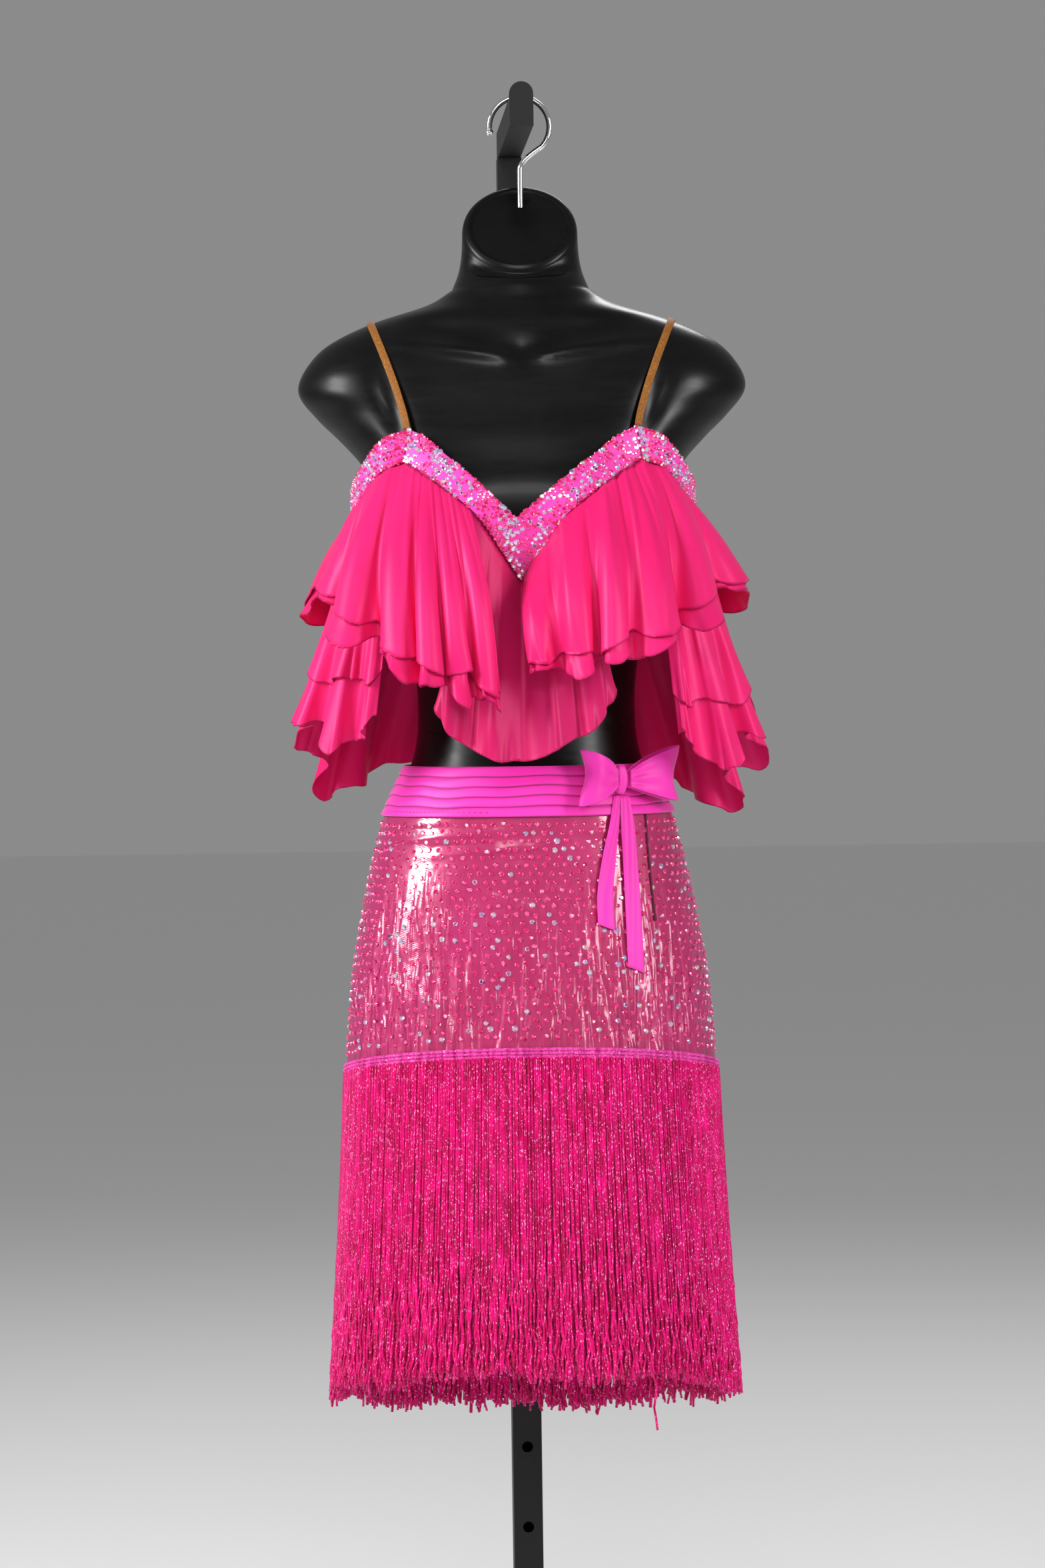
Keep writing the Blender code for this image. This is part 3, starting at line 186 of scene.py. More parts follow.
UPPER_LEFT = table(
    "along loop hem_x hem_y hem_z wave",
    (0.00, 0.20, 0.024, -0.1600, 1.052, 0.003),
    (0.12, 0.27, 0.048, -0.1670, 1.064, 0.009),
    (0.26, 0.35, 0.080, -0.1680, 1.077, 0.011),
    (0.38, 0.42, 0.110, -0.1580, 1.092, 0.012),
    (0.48, 0.49, 0.142, -0.1330, 1.120, 0.015),
    (0.58, 0.57, 0.172, -0.0840, 1.149, 0.011),
    (0.68, 0.66, 0.188, -0.0180, 1.155, 0.008),
    (0.80, 0.79, 0.180, 0.0760, 1.122, 0.010),
    (0.91, 0.90, 0.112, 0.1360, 1.098, 0.010),
    (1.00, 1.00, 0.004, 0.1500, 1.090, 0.004))

LOWER_SIDE = table(
    "along loop hem_x hem_y hem_z wave",
    (0.00, 0.47, 0.134, -0.1050, 1.034, 0.003),
    (0.13, 0.51, 0.162, -0.0940, 1.014, 0.009),
    (0.27, 0.55, 0.194, -0.0640, 1.026, 0.011),
    (0.40, 0.62, 0.209, -0.0180, 1.036, 0.011),
    (0.54, 0.71, 0.203, 0.0380, 0.996, 0.012),
    (0.69, 0.81, 0.168, 0.0860, 0.976, 0.012),
    (0.82, 0.89, 0.118, 0.1140, 0.996, 0.010),
    (0.92, 0.95, 0.058, 0.1260, 1.012, 0.008),
    (1.00, 1.00, 0.004, 0.1280, 1.018, 0.004))

LOWER_FRONT = table(
    "along place hem_x hem_y hem_z wave",
    (0.00, -0.48, -0.080, -0.1340, 1.046, 0.004),
    (0.12, -0.37, -0.070, -0.1400, 1.022, 0.006),
    (0.30, -0.21, -0.044, -0.1440, 0.998, 0.004),
    (0.50, 0.00, -0.006, -0.1440, 0.990, 0.001),
    (0.70, 0.21, 0.034, -0.1440, 1.004, 0.003),
    (0.88, 0.37, 0.064, -0.1400, 1.026, 0.006),
    (1.00, 0.48, 0.080, -0.1340, 1.048, 0.004))

# Sash, fringe and bow
SASH_TOP = 0.9920
SASH_BOTTOM = 0.9460
SASH_DIP = 0.006
PLEATS = 5
PLEAT_RISE = 2.0 * MM
SASH_BASE = 1.4 * MM
RIBBON = 1.3 * MM
HEADER_SIDE_Z = 0.711
HEADER_TILT = 0.021
HEADER_HEIGHT = 0.010
FRINGE_LENGTH = 0.297
FRINGE_LONGER_BACK = 0.011
BOW_X, BOW_Z = 0.0810, 0.9735
BOW_YAW = math.radians(35)
BOW_LIFT = 2.0 * MM
KNOT_SIZE = (0.0130, 0.0120, 0.0270)
LOOP_SHAPE = table(
    "along out half_height lift",
    (0.00, 0.0105, 0.0075, 0.000),
    (0.30, 0.0150, 0.0150, 0.001),
    (0.65, 0.0165, 0.0215, 0.001),
    (0.92, 0.0120, 0.0250, 0.001),
    (1.00, 0.0065, 0.0255, 0.001),
    (0.90, 0.0015, 0.0245, 0.001),
    (0.60, 0.0010, 0.0200, 0.001),
    (0.28, 0.0025, 0.0140, 0.001),
    (0.00, 0.0045, 0.0075, 0.000))
TAILS = {
    "bow_tail_left": table(
        "x z half_width stand_off",
        (0.0815, 0.9580, 0.0026, 0.0059),
        (0.0790, 0.9350, 0.0042, 0.0058),
        (0.0730, 0.9000, 0.0062, 0.0042),
        (0.0690, 0.8650, 0.0072, 0.0034),
        (0.0700, 0.8420, 0.0076, 0.0034)),
    "bow_tail_right": table(
        "x z half_width stand_off",
        (0.0885, 0.9580, 0.0040, 0.0059),
        (0.0905, 0.9350, 0.0060, 0.0058),
        (0.0925, 0.9000, 0.0066, 0.0042),
        (0.0945, 0.8550, 0.0070, 0.0034),
        (0.0965, 0.8030, 0.0072, 0.0034))}

STRAP_WIDTH = 0.0070
STRAP_WALL = 1.5 * MM
STRAP_LIFT = 0.7 * MM
STRAP_END_LIFT = 4.4 * MM
STRAP_SIDE_X = 0.1400
STRAP_FRONT_X, STRAP_FRONT_Z = 0.1035, 1.2931
STRAP_BACK_X, STRAP_BACK_Z = 0.0860, 1.2520

# Thicknesses of the visible cloth
CLOTH = 0.8 * MM
BAND_CLOTH = 2.2 * MM
FLOUNCE_CLOTH = 0.7 * MM
HEM_ROLL = 1.25 * MM
HEM_WIDTH = 1.5 * MM
LOOP_CLOTH = 0.9 * MM


# Curves and sections

def smooth(stations, values, at):
    """A cubic curve through the values, with slopes taken from their neighbours."""
    slopes = np.gradient(values, stations)
    at = np.clip(at, stations[0], stations[-1])
    low = np.clip(np.searchsorted(stations, at) - 1, 0, len(stations) - 2)
    gap = stations[low + 1] - stations[low]
    way = (at - stations[low]) / gap
    start = (2 * way**3 - 3 * way**2 + 1) * values[low]
    start = start + (way**3 - 2 * way**2 + way) * gap * slopes[low]
    end = (3 * way**2 - 2 * way**3) * values[low + 1] + (way**3 - way**2) * gap * slopes[low + 1]
    return start + end


def read(rows, column, at, key="along"):
    """A column of a table at places along its key column."""
    return smooth(rows[key], rows[column], at)


def read_down(rows, column, z):
    """A column of a table whose rows run down, at heights."""
    return smooth(-rows["z"], rows[column], -z)


def rows_of(rows):
    """A table's rows, one after the other."""
    return zip(*rows.values())


def stack(x, y, z):
    return np.stack(np.broadcast_arrays(x, y, z), axis=-1)


def part_way(start, end, share):
    """The value a share of the way from start to end."""
    return start + (end - start) * share


def circle(count):
    """Angles an equal way apart, once round."""
    return np.linspace(0, 2 * math.pi, count, endpoint=False)


def bump(value, centre, spread):
    """A bell curve, 1 at its centre."""
    return np.exp(-((value - centre) / spread) ** 2)


def bust(x, z):
    """How far the bust stands out at a place on the front."""
    sides = bump(x, -BUST_X, BUST_SPREAD_X) + bump(x, BUST_X, BUST_SPREAD_X)
    return bump(z, BUST_HEIGHT, BUST_SPREAD_Z) * BUST_RISE * sides


def section(rows, z, grow=0.0):
    """Half width, middle, half depth and roundness of a body's section at a height."""
    half_width = read(rows, "half_width", z, "z") + grow
    front = read(rows, "front", z, "z") + grow
    back = read(rows, "back", z, "z") + grow
    return half_width, (back - front) / 2, (back + front) / 2, read(rows, "power", z, "z")


def signed_power(value, power):
    return np.sign(value) * np.abs(value) ** power


def ring_point(rows, angle, z, grow=0.0):
    """Points at angles from the front on sections."""
    half_width, middle, depth, power = section(rows, z, grow)
    x = half_width * signed_power(np.sin(angle), 2 / power)
    y = middle - depth * signed_power(np.cos(angle), 2 / power)
    return stack(x, y, z)


def form_point(angle, z, grow=0.0, fullness=1.0):
    """Points on the form, or that far outside it, with its bust."""
    points = ring_point(FORM, angle, z, grow)
    front = np.cos(angle) > 0
    points[..., 1] -= np.where(front, bust(points[..., 0], points[..., 2]) * fullness, 0.0)
    return points


def skirt_point(angle, z, grow=0.0):
    return ring_point(SKIRT, angle, z, grow)


def depth_at(rows, x, z, grow, front=True):
    """The depth of a section's front or back at a place across it."""
    half_width, middle, depth, power = section(rows, z, grow)
    inside = np.maximum(0.0, 1 - np.minimum(1.0, np.abs(x) / half_width) ** power)
    reach = inside ** (1 / power)
    return middle - depth * reach if front else middle + depth * reach


def body_front(x, z, grow=0.0):
    return depth_at(FORM, x, z, grow) - bust(x, z)


def body_back(x, z, grow=0.0):
    return depth_at(FORM, x, z, grow, front=False)


# Meshes from grids of points

UP = np.array([0, 0, 1.0])


def unit(vectors):
    return vectors / np.maximum(np.linalg.norm(vectors, axis=-1, keepdims=True), 1e-9)


def moved(points, direction, amount):
    """Points pushed along directions, each by its own amount."""
    return points + direction * np.asarray(amount)[..., None]


def rims(turns, one, other):
    """Points round circles of radius 1, each lying along two directions."""
    return np.cos(turns)[..., None] * one[..., None, :] + np.sin(turns)[..., None] * other[..., None, :]


def normals(grid, ring=False):
    """Outward unit normals of a grid whose columns run round the body and rows run down."""
    if ring:
        across = np.roll(grid, -1, axis=1) - np.roll(grid, 1, axis=1)
    else:
        across = np.gradient(grid, axis=1)
    return unit(np.cross(np.gradient(grid, axis=0), across))


def measured(grid, axis):
    """The distance travelled along a grid's rows or columns, in metres."""
    steps = np.linalg.norm(np.diff(grid, axis=axis), axis=2)
    start = np.zeros_like(np.take(steps, [0], axis=axis))
    return np.cumsum(np.concatenate([start, steps], axis=axis), axis=axis)


def mesh_object(name, points, faces, finish, smooth_shading=True):
    """A new object in the scene, with one mesh and one material."""
    mesh = bpy.data.meshes.new(name)
    mesh.from_pydata(np.asarray(points).tolist(), [], [list(map(int, f)) for f in faces])
    mesh.validate()
    if smooth_shading:
        mesh.shade_smooth()
    made = bpy.data.objects.new(name, mesh)
    bpy.context.scene.collection.objects.link(made)
    mesh.materials.append(finish)
    return made


def grid_index(*shape):
    """Vertex numbers of a grid whose last column meets its first."""
    index = np.arange(math.prod(shape)).reshape(shape)
    return np.concatenate([index, index[..., :1]], axis=-1)


def quads(index, inward=False):
    """Faces over a grid of vertex numbers; inward turns their fronts to the other side."""
    low, right = index[..., 1:, :-1], index[..., :-1, 1:]
    sides = (right, index[..., 1:, 1:], low) if inward else (low, index[..., 1:, 1:], right)
    return np.stack([index[..., :-1, :-1], *sides], axis=-1).reshape(-1, 4)


def capped(name, rings, finish, inward=False):
    """A closed skin over rings of points, with a flat face at each end."""
    index = grid_index(*rings.shape[:2])
    ends = [index[0, :-1], index[-1, :-1][::-1]]
    if inward:
        ends = [end[::-1] for end in ends]
    return mesh_object(name, rings.reshape(-1, 3), [*quads(index, inward), *ends], finish)


def add_map(mesh, coordinates):
    """A UV map from one pair of numbers for each vertex."""
    layer = mesh.uv_layers.new(name="UVMap")
    corners = np.zeros(len(mesh.loops), dtype=np.int32)
    mesh.loops.foreach_get("vertex_index", corners)
    layer.data.foreach_set("uv", coordinates[corners].astype(np.float32).ravel())


def add_value(mesh, name, values, domain="POINT"):
    layer = mesh.attributes.new(name, "FLOAT", domain)
    layer.data.foreach_set("value", np.asarray(values, dtype=np.float32))


def shell(name, outer, inner, finish, ring=False, hem=None):
    """A closed thin shell between two grids, with a map in metres and a mark along its hem (on the sash
    the mark lies in its grooves, as painted shade).
    """
    index = grid_index(*outer.shape[:2])
    if not ring:
        index = index[:, :-1]
    back = index + outer.shape[0] * outer.shape[1]
    parts = [
        (index[:-1, :-1], index[1:, :-1], index[1:, 1:], index[:-1, 1:]),
        (back[:-1, 1:], back[1:, 1:], back[1:, :-1], back[:-1, :-1]),
        (index[0, :-1], index[0, 1:], back[0, 1:], back[0, :-1]),
        (index[-1, 1:], index[-1, :-1], back[-1, :-1], back[-1, 1:])]
    if not ring:
        parts.append((index[1:, 0], index[:-1, 0], back[:-1, 0], back[1:, 0]))
        parts.append((index[:-1, -1], index[1:, -1], back[1:, -1], back[:-1, -1]))
    faces = np.concatenate([np.stack([a.ravel() for a in p], axis=1) for p in parts])
    points = np.concatenate([outer.reshape(-1, 3), inner.reshape(-1, 3)])
    made = mesh_object(name, points, faces, finish)
    middle = (outer + inner) / 2
    across, down = measured(middle, 1), measured(middle, 0)
    flat = np.stack([across.ravel(), -down.ravel()], axis=1)
    add_map(made.data, np.concatenate([flat, flat]))
    if hem is not None:
        add_value(made.data, "hem", np.tile(hem.ravel(), 2))
    return made


def thickened(name, middle, half, finish, hem=None):
    """A shell round a middle surface, with half its thickness on each side."""
    reach = normals(middle) * np.asarray(half)[..., None]
    return shell(name, middle + reach, middle - reach, finish, hem=hem)


def finish_piece(piece, slot, *nodes):
    """What every piece of the costume gets: its body, with the solids it stands for hidden. The slot
    argument is not used.
    """
    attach(piece, "root")
    if nodes:
        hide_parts(*nodes)
    return piece


# Materials

def srgb(red, green, blue, tone_and_painted_light=1.0):
    """A colour read as 0 to 255, as linear values."""
    values = np.array([red, green, blue]) * tone_and_painted_light / 255
    linear = np.where(values <= 0.04045, values / 12.92, ((values + 0.055) / 1.055) ** 2.4)
    return (*linear.tolist(), 1.0)


class Finish:
    """A material with one Principled shader, and short ways to add nodes to it."""

    def __init__(self, name, **sockets):
        self.material = bpy.data.materials.new(name)
        self.material.use_nodes = True
        self.tree = self.material.node_tree
        self.shader = self.tree.nodes["Principled BSDF"]
        for socket, value in sockets.items():
            self.shader.inputs[socket.replace("_", " ")].default_value = value

    def add(self, kind, _links=None, **settings):
        node = self.tree.nodes.new("ShaderNode" + kind)
        for key, value in settings.items():
            if hasattr(node, key):
                setattr(node, key, value)
            else:
                node.inputs[key.replace("_", " ")].default_value = value
        for socket, source in (_links or {}).items():
            self.join(source, node.inputs[socket])
        return node

    def join(self, source, target):
        output = source.outputs[0] if hasattr(source, "outputs") else source
        self.tree.links.new(output, target)

    def set(self, socket, source):
        self.join(source, self.shader.inputs[socket])

    def coordinates(self, kind="Object", scale=(1, 1, 1)):
        place = self.add("TexCoord").outputs[kind]
        return self.add("Mapping", {"Vector": place}, Scale=scale)

    def noise(self, *scale, **settings):
        return self.add("TexNoise", {"Vector": self.coordinates(scale=scale)}, Scale=1.0, **settings)

    def bands(self, kind, direction, scale, **settings):
        """Even bands over the object or its map."""
        return self.add("TexWave", {"Vector": self.coordinates(kind)}, wave_type="BANDS",
                        bands_direction=direction, Scale=scale, **settings)

    def value(self, name):
        """A number kept on the mesh."""
        return self.add("Attribute", attribute_name=name).outputs["Fac"]

    def ramp(self, source, *stops):
        """Colours at places from 0 to 1."""
        node = self.add("ValToRGB", {"Fac": source})
        ramp = node.color_ramp
        while len(ramp.elements) < len(stops):
            ramp.elements.new(0.5)
        for element, (place, colour) in zip(ramp.elements, stops):
            element.position = place
            element.color = colour
        return node

    def between(self, source, low, high, to_low=0.0, to_high=1.0):
        return self.add("MapRange", {"Value": source}, From_Min=low, From_Max=high,
                        To_Min=to_low, To_Max=to_high)

    def mix(self, factor, one, two):
        """A mix of two colours, each a node or a value."""
        node = self.add("Mix", data_type="RGBA", blend_type="MIX")
        for socket, value in ((0, factor), (6, one), (7, two)):
            if isinstance(value, (tuple, float, int)):
                node.inputs[socket].default_value = value
            else:
                self.join(value, node.inputs[socket])
        return node.outputs[2]

    def calculate(self, operation, one, two):
        """Arithmetic on two numbers, each a node or a value."""
        node = self.add("Math", operation=operation)
        for socket, value in enumerate((one, two)):
            if isinstance(value, (float, int)):
                node.inputs[socket].default_value = value
            else:
                self.join(value, node.inputs[socket])
        return node.outputs[0]

    def bumped(self, height, strength, distance):
        """Relief from a height, over any relief added before."""
        node = self.add("Bump", {"Height": height}, Strength=strength, Distance=distance)
        if self.shader.inputs["Normal"].is_linked:
            self.join(self.shader.inputs["Normal"].links[0].from_socket, node.inputs["Normal"])
        self.set("Normal", node)
        return node


def satin(name="satin", tone_and_painted_light=1.0):
    """Pink satin: a smooth sheen with a fine weave and a darker stitched hem. A factor below 1 darkens
    the whole colour as painted shade.
    """
    made = Finish(name, Roughness=0.36, Sheen_Weight=0.16, Sheen_Roughness=0.3,
                  Specular_IOR_Level=0.42, Anisotropic=0.55, Sheen_Tint=srgb(255, 120, 175),
                  Specular_Tint=srgb(255, 150, 195))
    body = made.ramp(made.noise(9, 9, 5, Detail=3.0), (0.30, srgb(226, 26, 102, tone_and_painted_light)),
                     (0.70, srgb(240, 42, 120, tone_and_painted_light)))
    hem = made.value("hem")
    made.set("Base Color", made.mix(hem, body.outputs[0], srgb(176, 14, 78)))
    made.bumped(made.bands("UV", "Y", 420.0, Distortion=1.5, Detail=1.0), 0.10, 0.0002)
    stitches = made.bands("UV", "DIAGONAL", 140.0, Distortion=0.4)
    made.bumped(made.calculate("MULTIPLY", stitches, hem), 0.7, 0.0006)
    return made.material


def plain(name, colour, roughness):
    return Finish(name, Base_Color=colour, Roughness=roughness).material


# Torso form

COLLARBONE_Z, COLLARBONE_RISE = 1.357, 0.019
ARM_FOLD_X, ARM_FOLD_LEAN = 0.128, 0.018


def form_relief(points, facing):
    """Collarbones, the notch between them and the folds in front of the shoulders."""
    side, z = np.abs(points[..., 0]), points[..., 2]
    bone_z = COLLARBONE_Z + COLLARBONE_RISE * np.clip(side / 0.12, 0, 1.2) ** 0.8
    fold_x = ARM_FOLD_X - ARM_FOLD_LEAN * np.clip((1.345 - z) / 0.06, -0.3, 1.2)
    hills = (
        (0.0036 * (1 - bump(side, 0.0, 0.008)), 0.055, 0.062, bone_z, 0.0060),
        (-0.0040, 0.070, 0.038, bone_z + 0.020, 0.011),
        (-0.0040, 0.0, 0.011, 1.366, 0.012),
        (-0.0042, fold_x, 0.009, 1.318, 0.034),
        (0.0022, 0.165, 0.030, 1.345, 0.030))
    height = sum(rise * bump(side, x, wide) * bump(z, level, tall)
                 for rise, x, wide, level, tall in hills)
    return moved(points, facing, height * np.clip(-facing[..., 1] * 3, 0, 1))


NECK_FOOT = {"y": (0.063 - 0.044) / 2, "z": 1.430, "half_width": 0.0640, "half_depth": 0.0535,
             "lean": 0.0}
CAP_RINGS = ((0.965, 0.4), (0.93, 0.9), (0.90, 1.0), (0.6, 0.9), (0.25, 0.8))


def form():
    """The limbless torso, with its slanted neck cap and its flat bottom."""
    turns = circle(144)
    heights = np.concatenate([np.linspace(low, high, 7, endpoint=False)
                              for low, high in zip(FORM["z"], FORM["z"][1:])] + [FORM["z"][-1:]])
    grid = form_point(turns, heights[::-1, None], fullness=FORM_BUST_SHARE)
    grid = form_relief(grid, normals(grid, ring=True))
    stations = np.arange(len(NECK["z"]) + 1, dtype=float)
    neck = []
    for at in np.linspace(0, len(NECK["z"]), 31)[1:]:
        y, z, half_width, half_depth, lean = (
            smooth(stations, np.concatenate([[NECK_FOOT[k]], NECK[k]]), at) for k in NECK)
        slope = math.radians(lean)
        neck.append(np.stack([half_width * np.sin(turns),
                              y - half_depth * np.cos(turns) * math.cos(slope),
                              z - half_depth * np.cos(turns) * math.sin(slope)], axis=1))
    rim, low = neck[-1], grid[-1]
    centre = rim.mean(axis=0)
    cap = [part_way(centre, rim, share) + np.array([0, 0.0012, -0.0016]) * depth
           for share, depth in CAP_RINGS]
    bottom = [part_way(low.mean(axis=0), low, share) for share in (0.985, 0.6)]
    rings = np.array([*cap[::-1], *neck[::-1], *grid, *bottom])
    return finish_piece(capped("torso_form", rings, gloss_black()), "form", "form")


def gloss_black():
    """Black plastic with a soft gloss and faint scuffs."""
    made = Finish("gloss_black", Specular_IOR_Level=0.20, Coat_Weight=0.05, Coat_Roughness=0.18)
    made.set("Base Color", made.ramp(
        made.noise(30, 30, 30, Detail=6.0), (0.35, (0.0020, 0.0019, 0.0021, 1)),
        (0.75, (0.0040, 0.0038, 0.0041, 1))))
    scuffs = made.noise(14, 14, 90, Detail=8.0, Roughness=0.7)
    made.set("Roughness", made.between(scuffs, 0.35, 0.75, 0.26, 0.40))
    made.bumped(made.noise(700, 700, 700), 0.05, 0.0002)
    return made.material


# Hook and stand

HOOK_START, HOOK_END = 183, -42


def hook():
    """A chrome wire with a ball on its end, screwed into the neck."""
    line = [(HOOK_X + HOOK_RADIUS * math.cos(a), HOOK_CENTRE_Z + HOOK_RADIUS * math.sin(a))
            for a in np.radians(np.linspace(HOOK_START, HOOK_END, 48))]
    low_x, low_z = line[-1]
    line += [(part_way(low_x, HOOK_X, math.sin(share * math.pi / 2)), part_way(low_z, SHANK_TOP_Z, share))
             for share in np.linspace(0, 1, 10)[1:]]
    line += [(HOOK_X, z) for z in np.linspace(SHANK_TOP_Z, SHANK_BOTTOM_Z, 6)[1:]]
    middle = np.array([(x, HOOK_Y, z) for x, z in line])
    radii = np.full(len(middle), WIRE_RADIUS)
    start, first = middle[0], unit(middle[0] - middle[1])
    for angle in np.radians(np.linspace(-50, 88, 10)):
        middle = np.concatenate([[start + first * BALL_RADIUS * (math.sin(angle) + 0.9)], middle])
        radii = np.concatenate([[BALL_RADIUS * math.cos(angle)], radii])
    made = tube("hook_wire", middle, radii, 20, Finish(
        "chrome", Base_Color=(0.80, 0.80, 0.82, 1), Metallic=1.0, Roughness=0.07).material)
    return finish_piece(made, "chrome", "hook")


def tube(name, middle, radii, sides, finish):
    """A wire along a line of points, closed at both ends."""
    along = unit(np.gradient(middle, axis=0))
    across = unit(np.cross(along, np.array([0, 1.0, 0])))
    side = unit(np.cross(across, along))
    points = middle[:, None] + rims(circle(sides), side, across) * radii[:, None, None]
    return capped(name, points, finish, inward=True)


# Top: bodice, band and straps

def band_edge(place, grow):
    """The band's top and bottom edge at a place from the V's tip, 1 at its peak."""
    at = np.minimum(place, 1.0)
    beyond = np.maximum(0.0, (place - 1.0) / (SIDE_PLACE - 1.0))
    edge = []
    for rim, side_z in (("top", BODICE_SIDE_TOP), ("low", BODICE_SIDE_TOP - 0.015)):
        z = read(BAND_V, rim + "_z", at) * (1 - beyond) + side_z * beyond
        edge += [read(BAND_V, rim + "_x", at) * (1 - beyond) + seam_x(z, grow) * beyond, z]
    return edge


def v_lean(at, share):
    """How far the V's top edge (0) or bottom edge (1) leans, at a place from tip to peak."""
    return part_way(V_LEAN_TOP, V_LEAN_LOW, share) * (1 - at) ** V_LEAN_FADE


def seam_x(z, grow):
    """How far from the middle the bodice's side seam lies."""
    return ring_point(FORM, BODICE_SIDE, z, grow)[..., 0]


def bodice_front_grid(grow, places, shares):
    """Rows down from the band's top edge, its bottom edge, then to the bodice's hem."""
    top_x, top_z, low_x, low_z = band_edge(np.abs(places), grow)
    rows = []
    for share in shares:
        if share <= 1.0:
            x, z = part_way(top_x, low_x, share), part_way(top_z, low_z, share)
        else:
            z = part_way(low_z, BODICE_HEM, share - 1.0)
            wide = part_way(low_x / seam_x(low_z, grow), np.abs(places) / SIDE_PLACE, share - 1.0)
            x = seam_x(z, grow) * wide
        lean = v_lean(np.minimum(np.abs(places), 1.0), min(share, 1.0))
        x = x * np.sign(places) + lean * (1 - max(0.0, share - 1.0))
        rows.append(stack(x, body_front(x, z, grow), z))
    return np.array(rows)


def bodice():
    """The lining under the bands and flounces, in a front and a back."""
    places = np.linspace(-SIDE_PLACE, SIDE_PLACE, 121)
    shares = np.concatenate([np.linspace(0, 1, 10), np.linspace(1, 2, 20)[1:]])
    levels = (BODICE_OUT, BODICE_OUT - CLOTH)
    finish = lining_pink()
    sides = [bodice_front_grid(level, places, shares) for level in levels]
    front = shell("bodice_front_cloth", *sides, finish)
    finish_piece(front, "band", "bodice_front")
    start = BODICE_SIDE + math.radians(0.35)
    angles = np.linspace(start, 2 * math.pi - start, 121)
    back_share = np.minimum(1, (0.5 - 0.5 * np.cos(angles)) * 1.2)
    top = part_way(BODICE_SIDE_TOP, BAND_BACK_TOP, back_share)
    heights = np.array([part_way(top, BAND_BACK_LOW, s) if s <= 1
                        else part_way(BAND_BACK_LOW, BODICE_HEM, s - 1) + 0 * top for s in shares])
    back = shell("bodice_back_cloth", *(form_point(angles, heights, level) for level in levels), finish)
    finish_piece(back, "band", "bodice_back")


def lining_pink():
    """Matt pink knit, seen inside the flounces and between the stones."""
    made = Finish("lining_pink", Roughness=0.6, Sheen_Weight=0.2)
    threads = made.noise(900, 900, 900)
    made.set("Base Color", made.ramp(threads, (0.3, srgb(205, 30, 130)), (0.7, srgb(228, 42, 152))))
    made.bumped(threads, 0.15, 0.0002)
    return made.material


def arm_band_point(place, share):
    """Points on the arm band's middle, at its top edge (0) or bottom edge (1)."""
    x, y = read(ARM_BAND, "x", place), read(ARM_BAND, "y", place)
    top, low = read(ARM_BAND, "top_z", place), read(ARM_BAND, "low_z", place)
    z = part_way(top, low, share)
    x = x + BAND_SLANT * (share - 0.5) * np.maximum(0.0, 1 - place * 5)
    y = np.where(place < 0.3, np.minimum(y, body_front(x, z, BAND_MIDDLE)), y)
    y = np.where(place > 0.8, np.maximum(y, body_back(x, z, BACK_BAND_MIDDLE)), y)
    return stack(x, y, z)


def mirrored(grid):
    """The same grid on the other side, with its columns still running round the body."""
    return grid[:, ::-1] * np.array([-1, 1, 1])


BAND_EDGE = 0.9 * MM


def rounded_wall(name, middle, thickness, finish):
    """A band whose long edges are rounded, like folded cloth."""
    down = measured(middle, 0)
    to_edge = np.minimum(down, down[-1:] - down)
    half = thickness / 2 * np.sqrt(1 - (1 - np.clip(to_edge / BAND_EDGE, 0, 1)) ** 2 * 0.8)
    return thickened(name, middle, half, finish)


def band_grids():
    """The middle surface of each part of the beaded band, columns round the body."""
    rows = np.concatenate([[0, 0.012], np.linspace(0.04, 0.96, 9), [0.988, 1]])
    grids = {"band_front": bodice_front_grid(BAND_MIDDLE, np.linspace(-0.99, 0.99, 161), rows)}
    places = np.linspace(0.0, 1.0, 91)
    grids["band_right"] = np.array([arm_band_point(places, share) for share in rows])
    grids["band_left"] = mirrored(grids["band_right"])
    x = np.linspace(0.0940, -0.0940, 71)
    z = part_way(BAND_BACK_TOP, BAND_BACK_LOW, rows)[:, None]
    grids["band_back"] = stack(x, body_back(x, z, BACK_BAND_MIDDLE), z)
    return grids


def bands():
    """The cloth of the beaded band, in four parts; gives the grids that the stones sit on."""
    finish = magenta_cloth("band_cloth", srgb(236, 48, 170), srgb(250, 70, 196))
    grids = band_grids()
    for name, grid in grids.items():
        made = rounded_wall(f"{name}_cloth", grid, BAND_CLOTH, finish)
        finish_piece(made, "band", name)
    return grids


def magenta_cloth(name, low, high):
    """Matt stretch cloth with a fine knit, darker where the hem mark is set: painted shade in the sash's
    grooves.
    """
    made = Finish(name, Roughness=0.52, Sheen_Weight=0.35, Sheen_Roughness=0.4)
    body = made.ramp(made.noise(14, 14, 14, Detail=3.0), (0.3, low), (0.7, high))
    # Where the hem mark is set, on the sash's grooves, the colour goes dark: painted shade.
    made.set("Base Color", made.mix(made.value("hem"), body.outputs[0], srgb(150, 6, 96)))
    made.bumped(made.noise(1300, 1300, 1300), 0.12, 0.0002)
    return made.material


def form_level(points):
    """1 on the form's surface, more outside it."""
    x, y, z = np.moveaxis(points, -1, 0)
    half_width, middle, depth, power = section(FORM, z)
    y = np.where(y < middle, y + bust(x, z), y)
    return (np.abs(x) / half_width) ** power + (np.abs(y - middle) / depth) ** power


def form_normal(points):
    """Outward directions at points on the form."""
    return unit(np.stack([form_level(points + step) - form_level(points - step)
                          for step in np.eye(3) * 0.5 * MM], axis=-1))


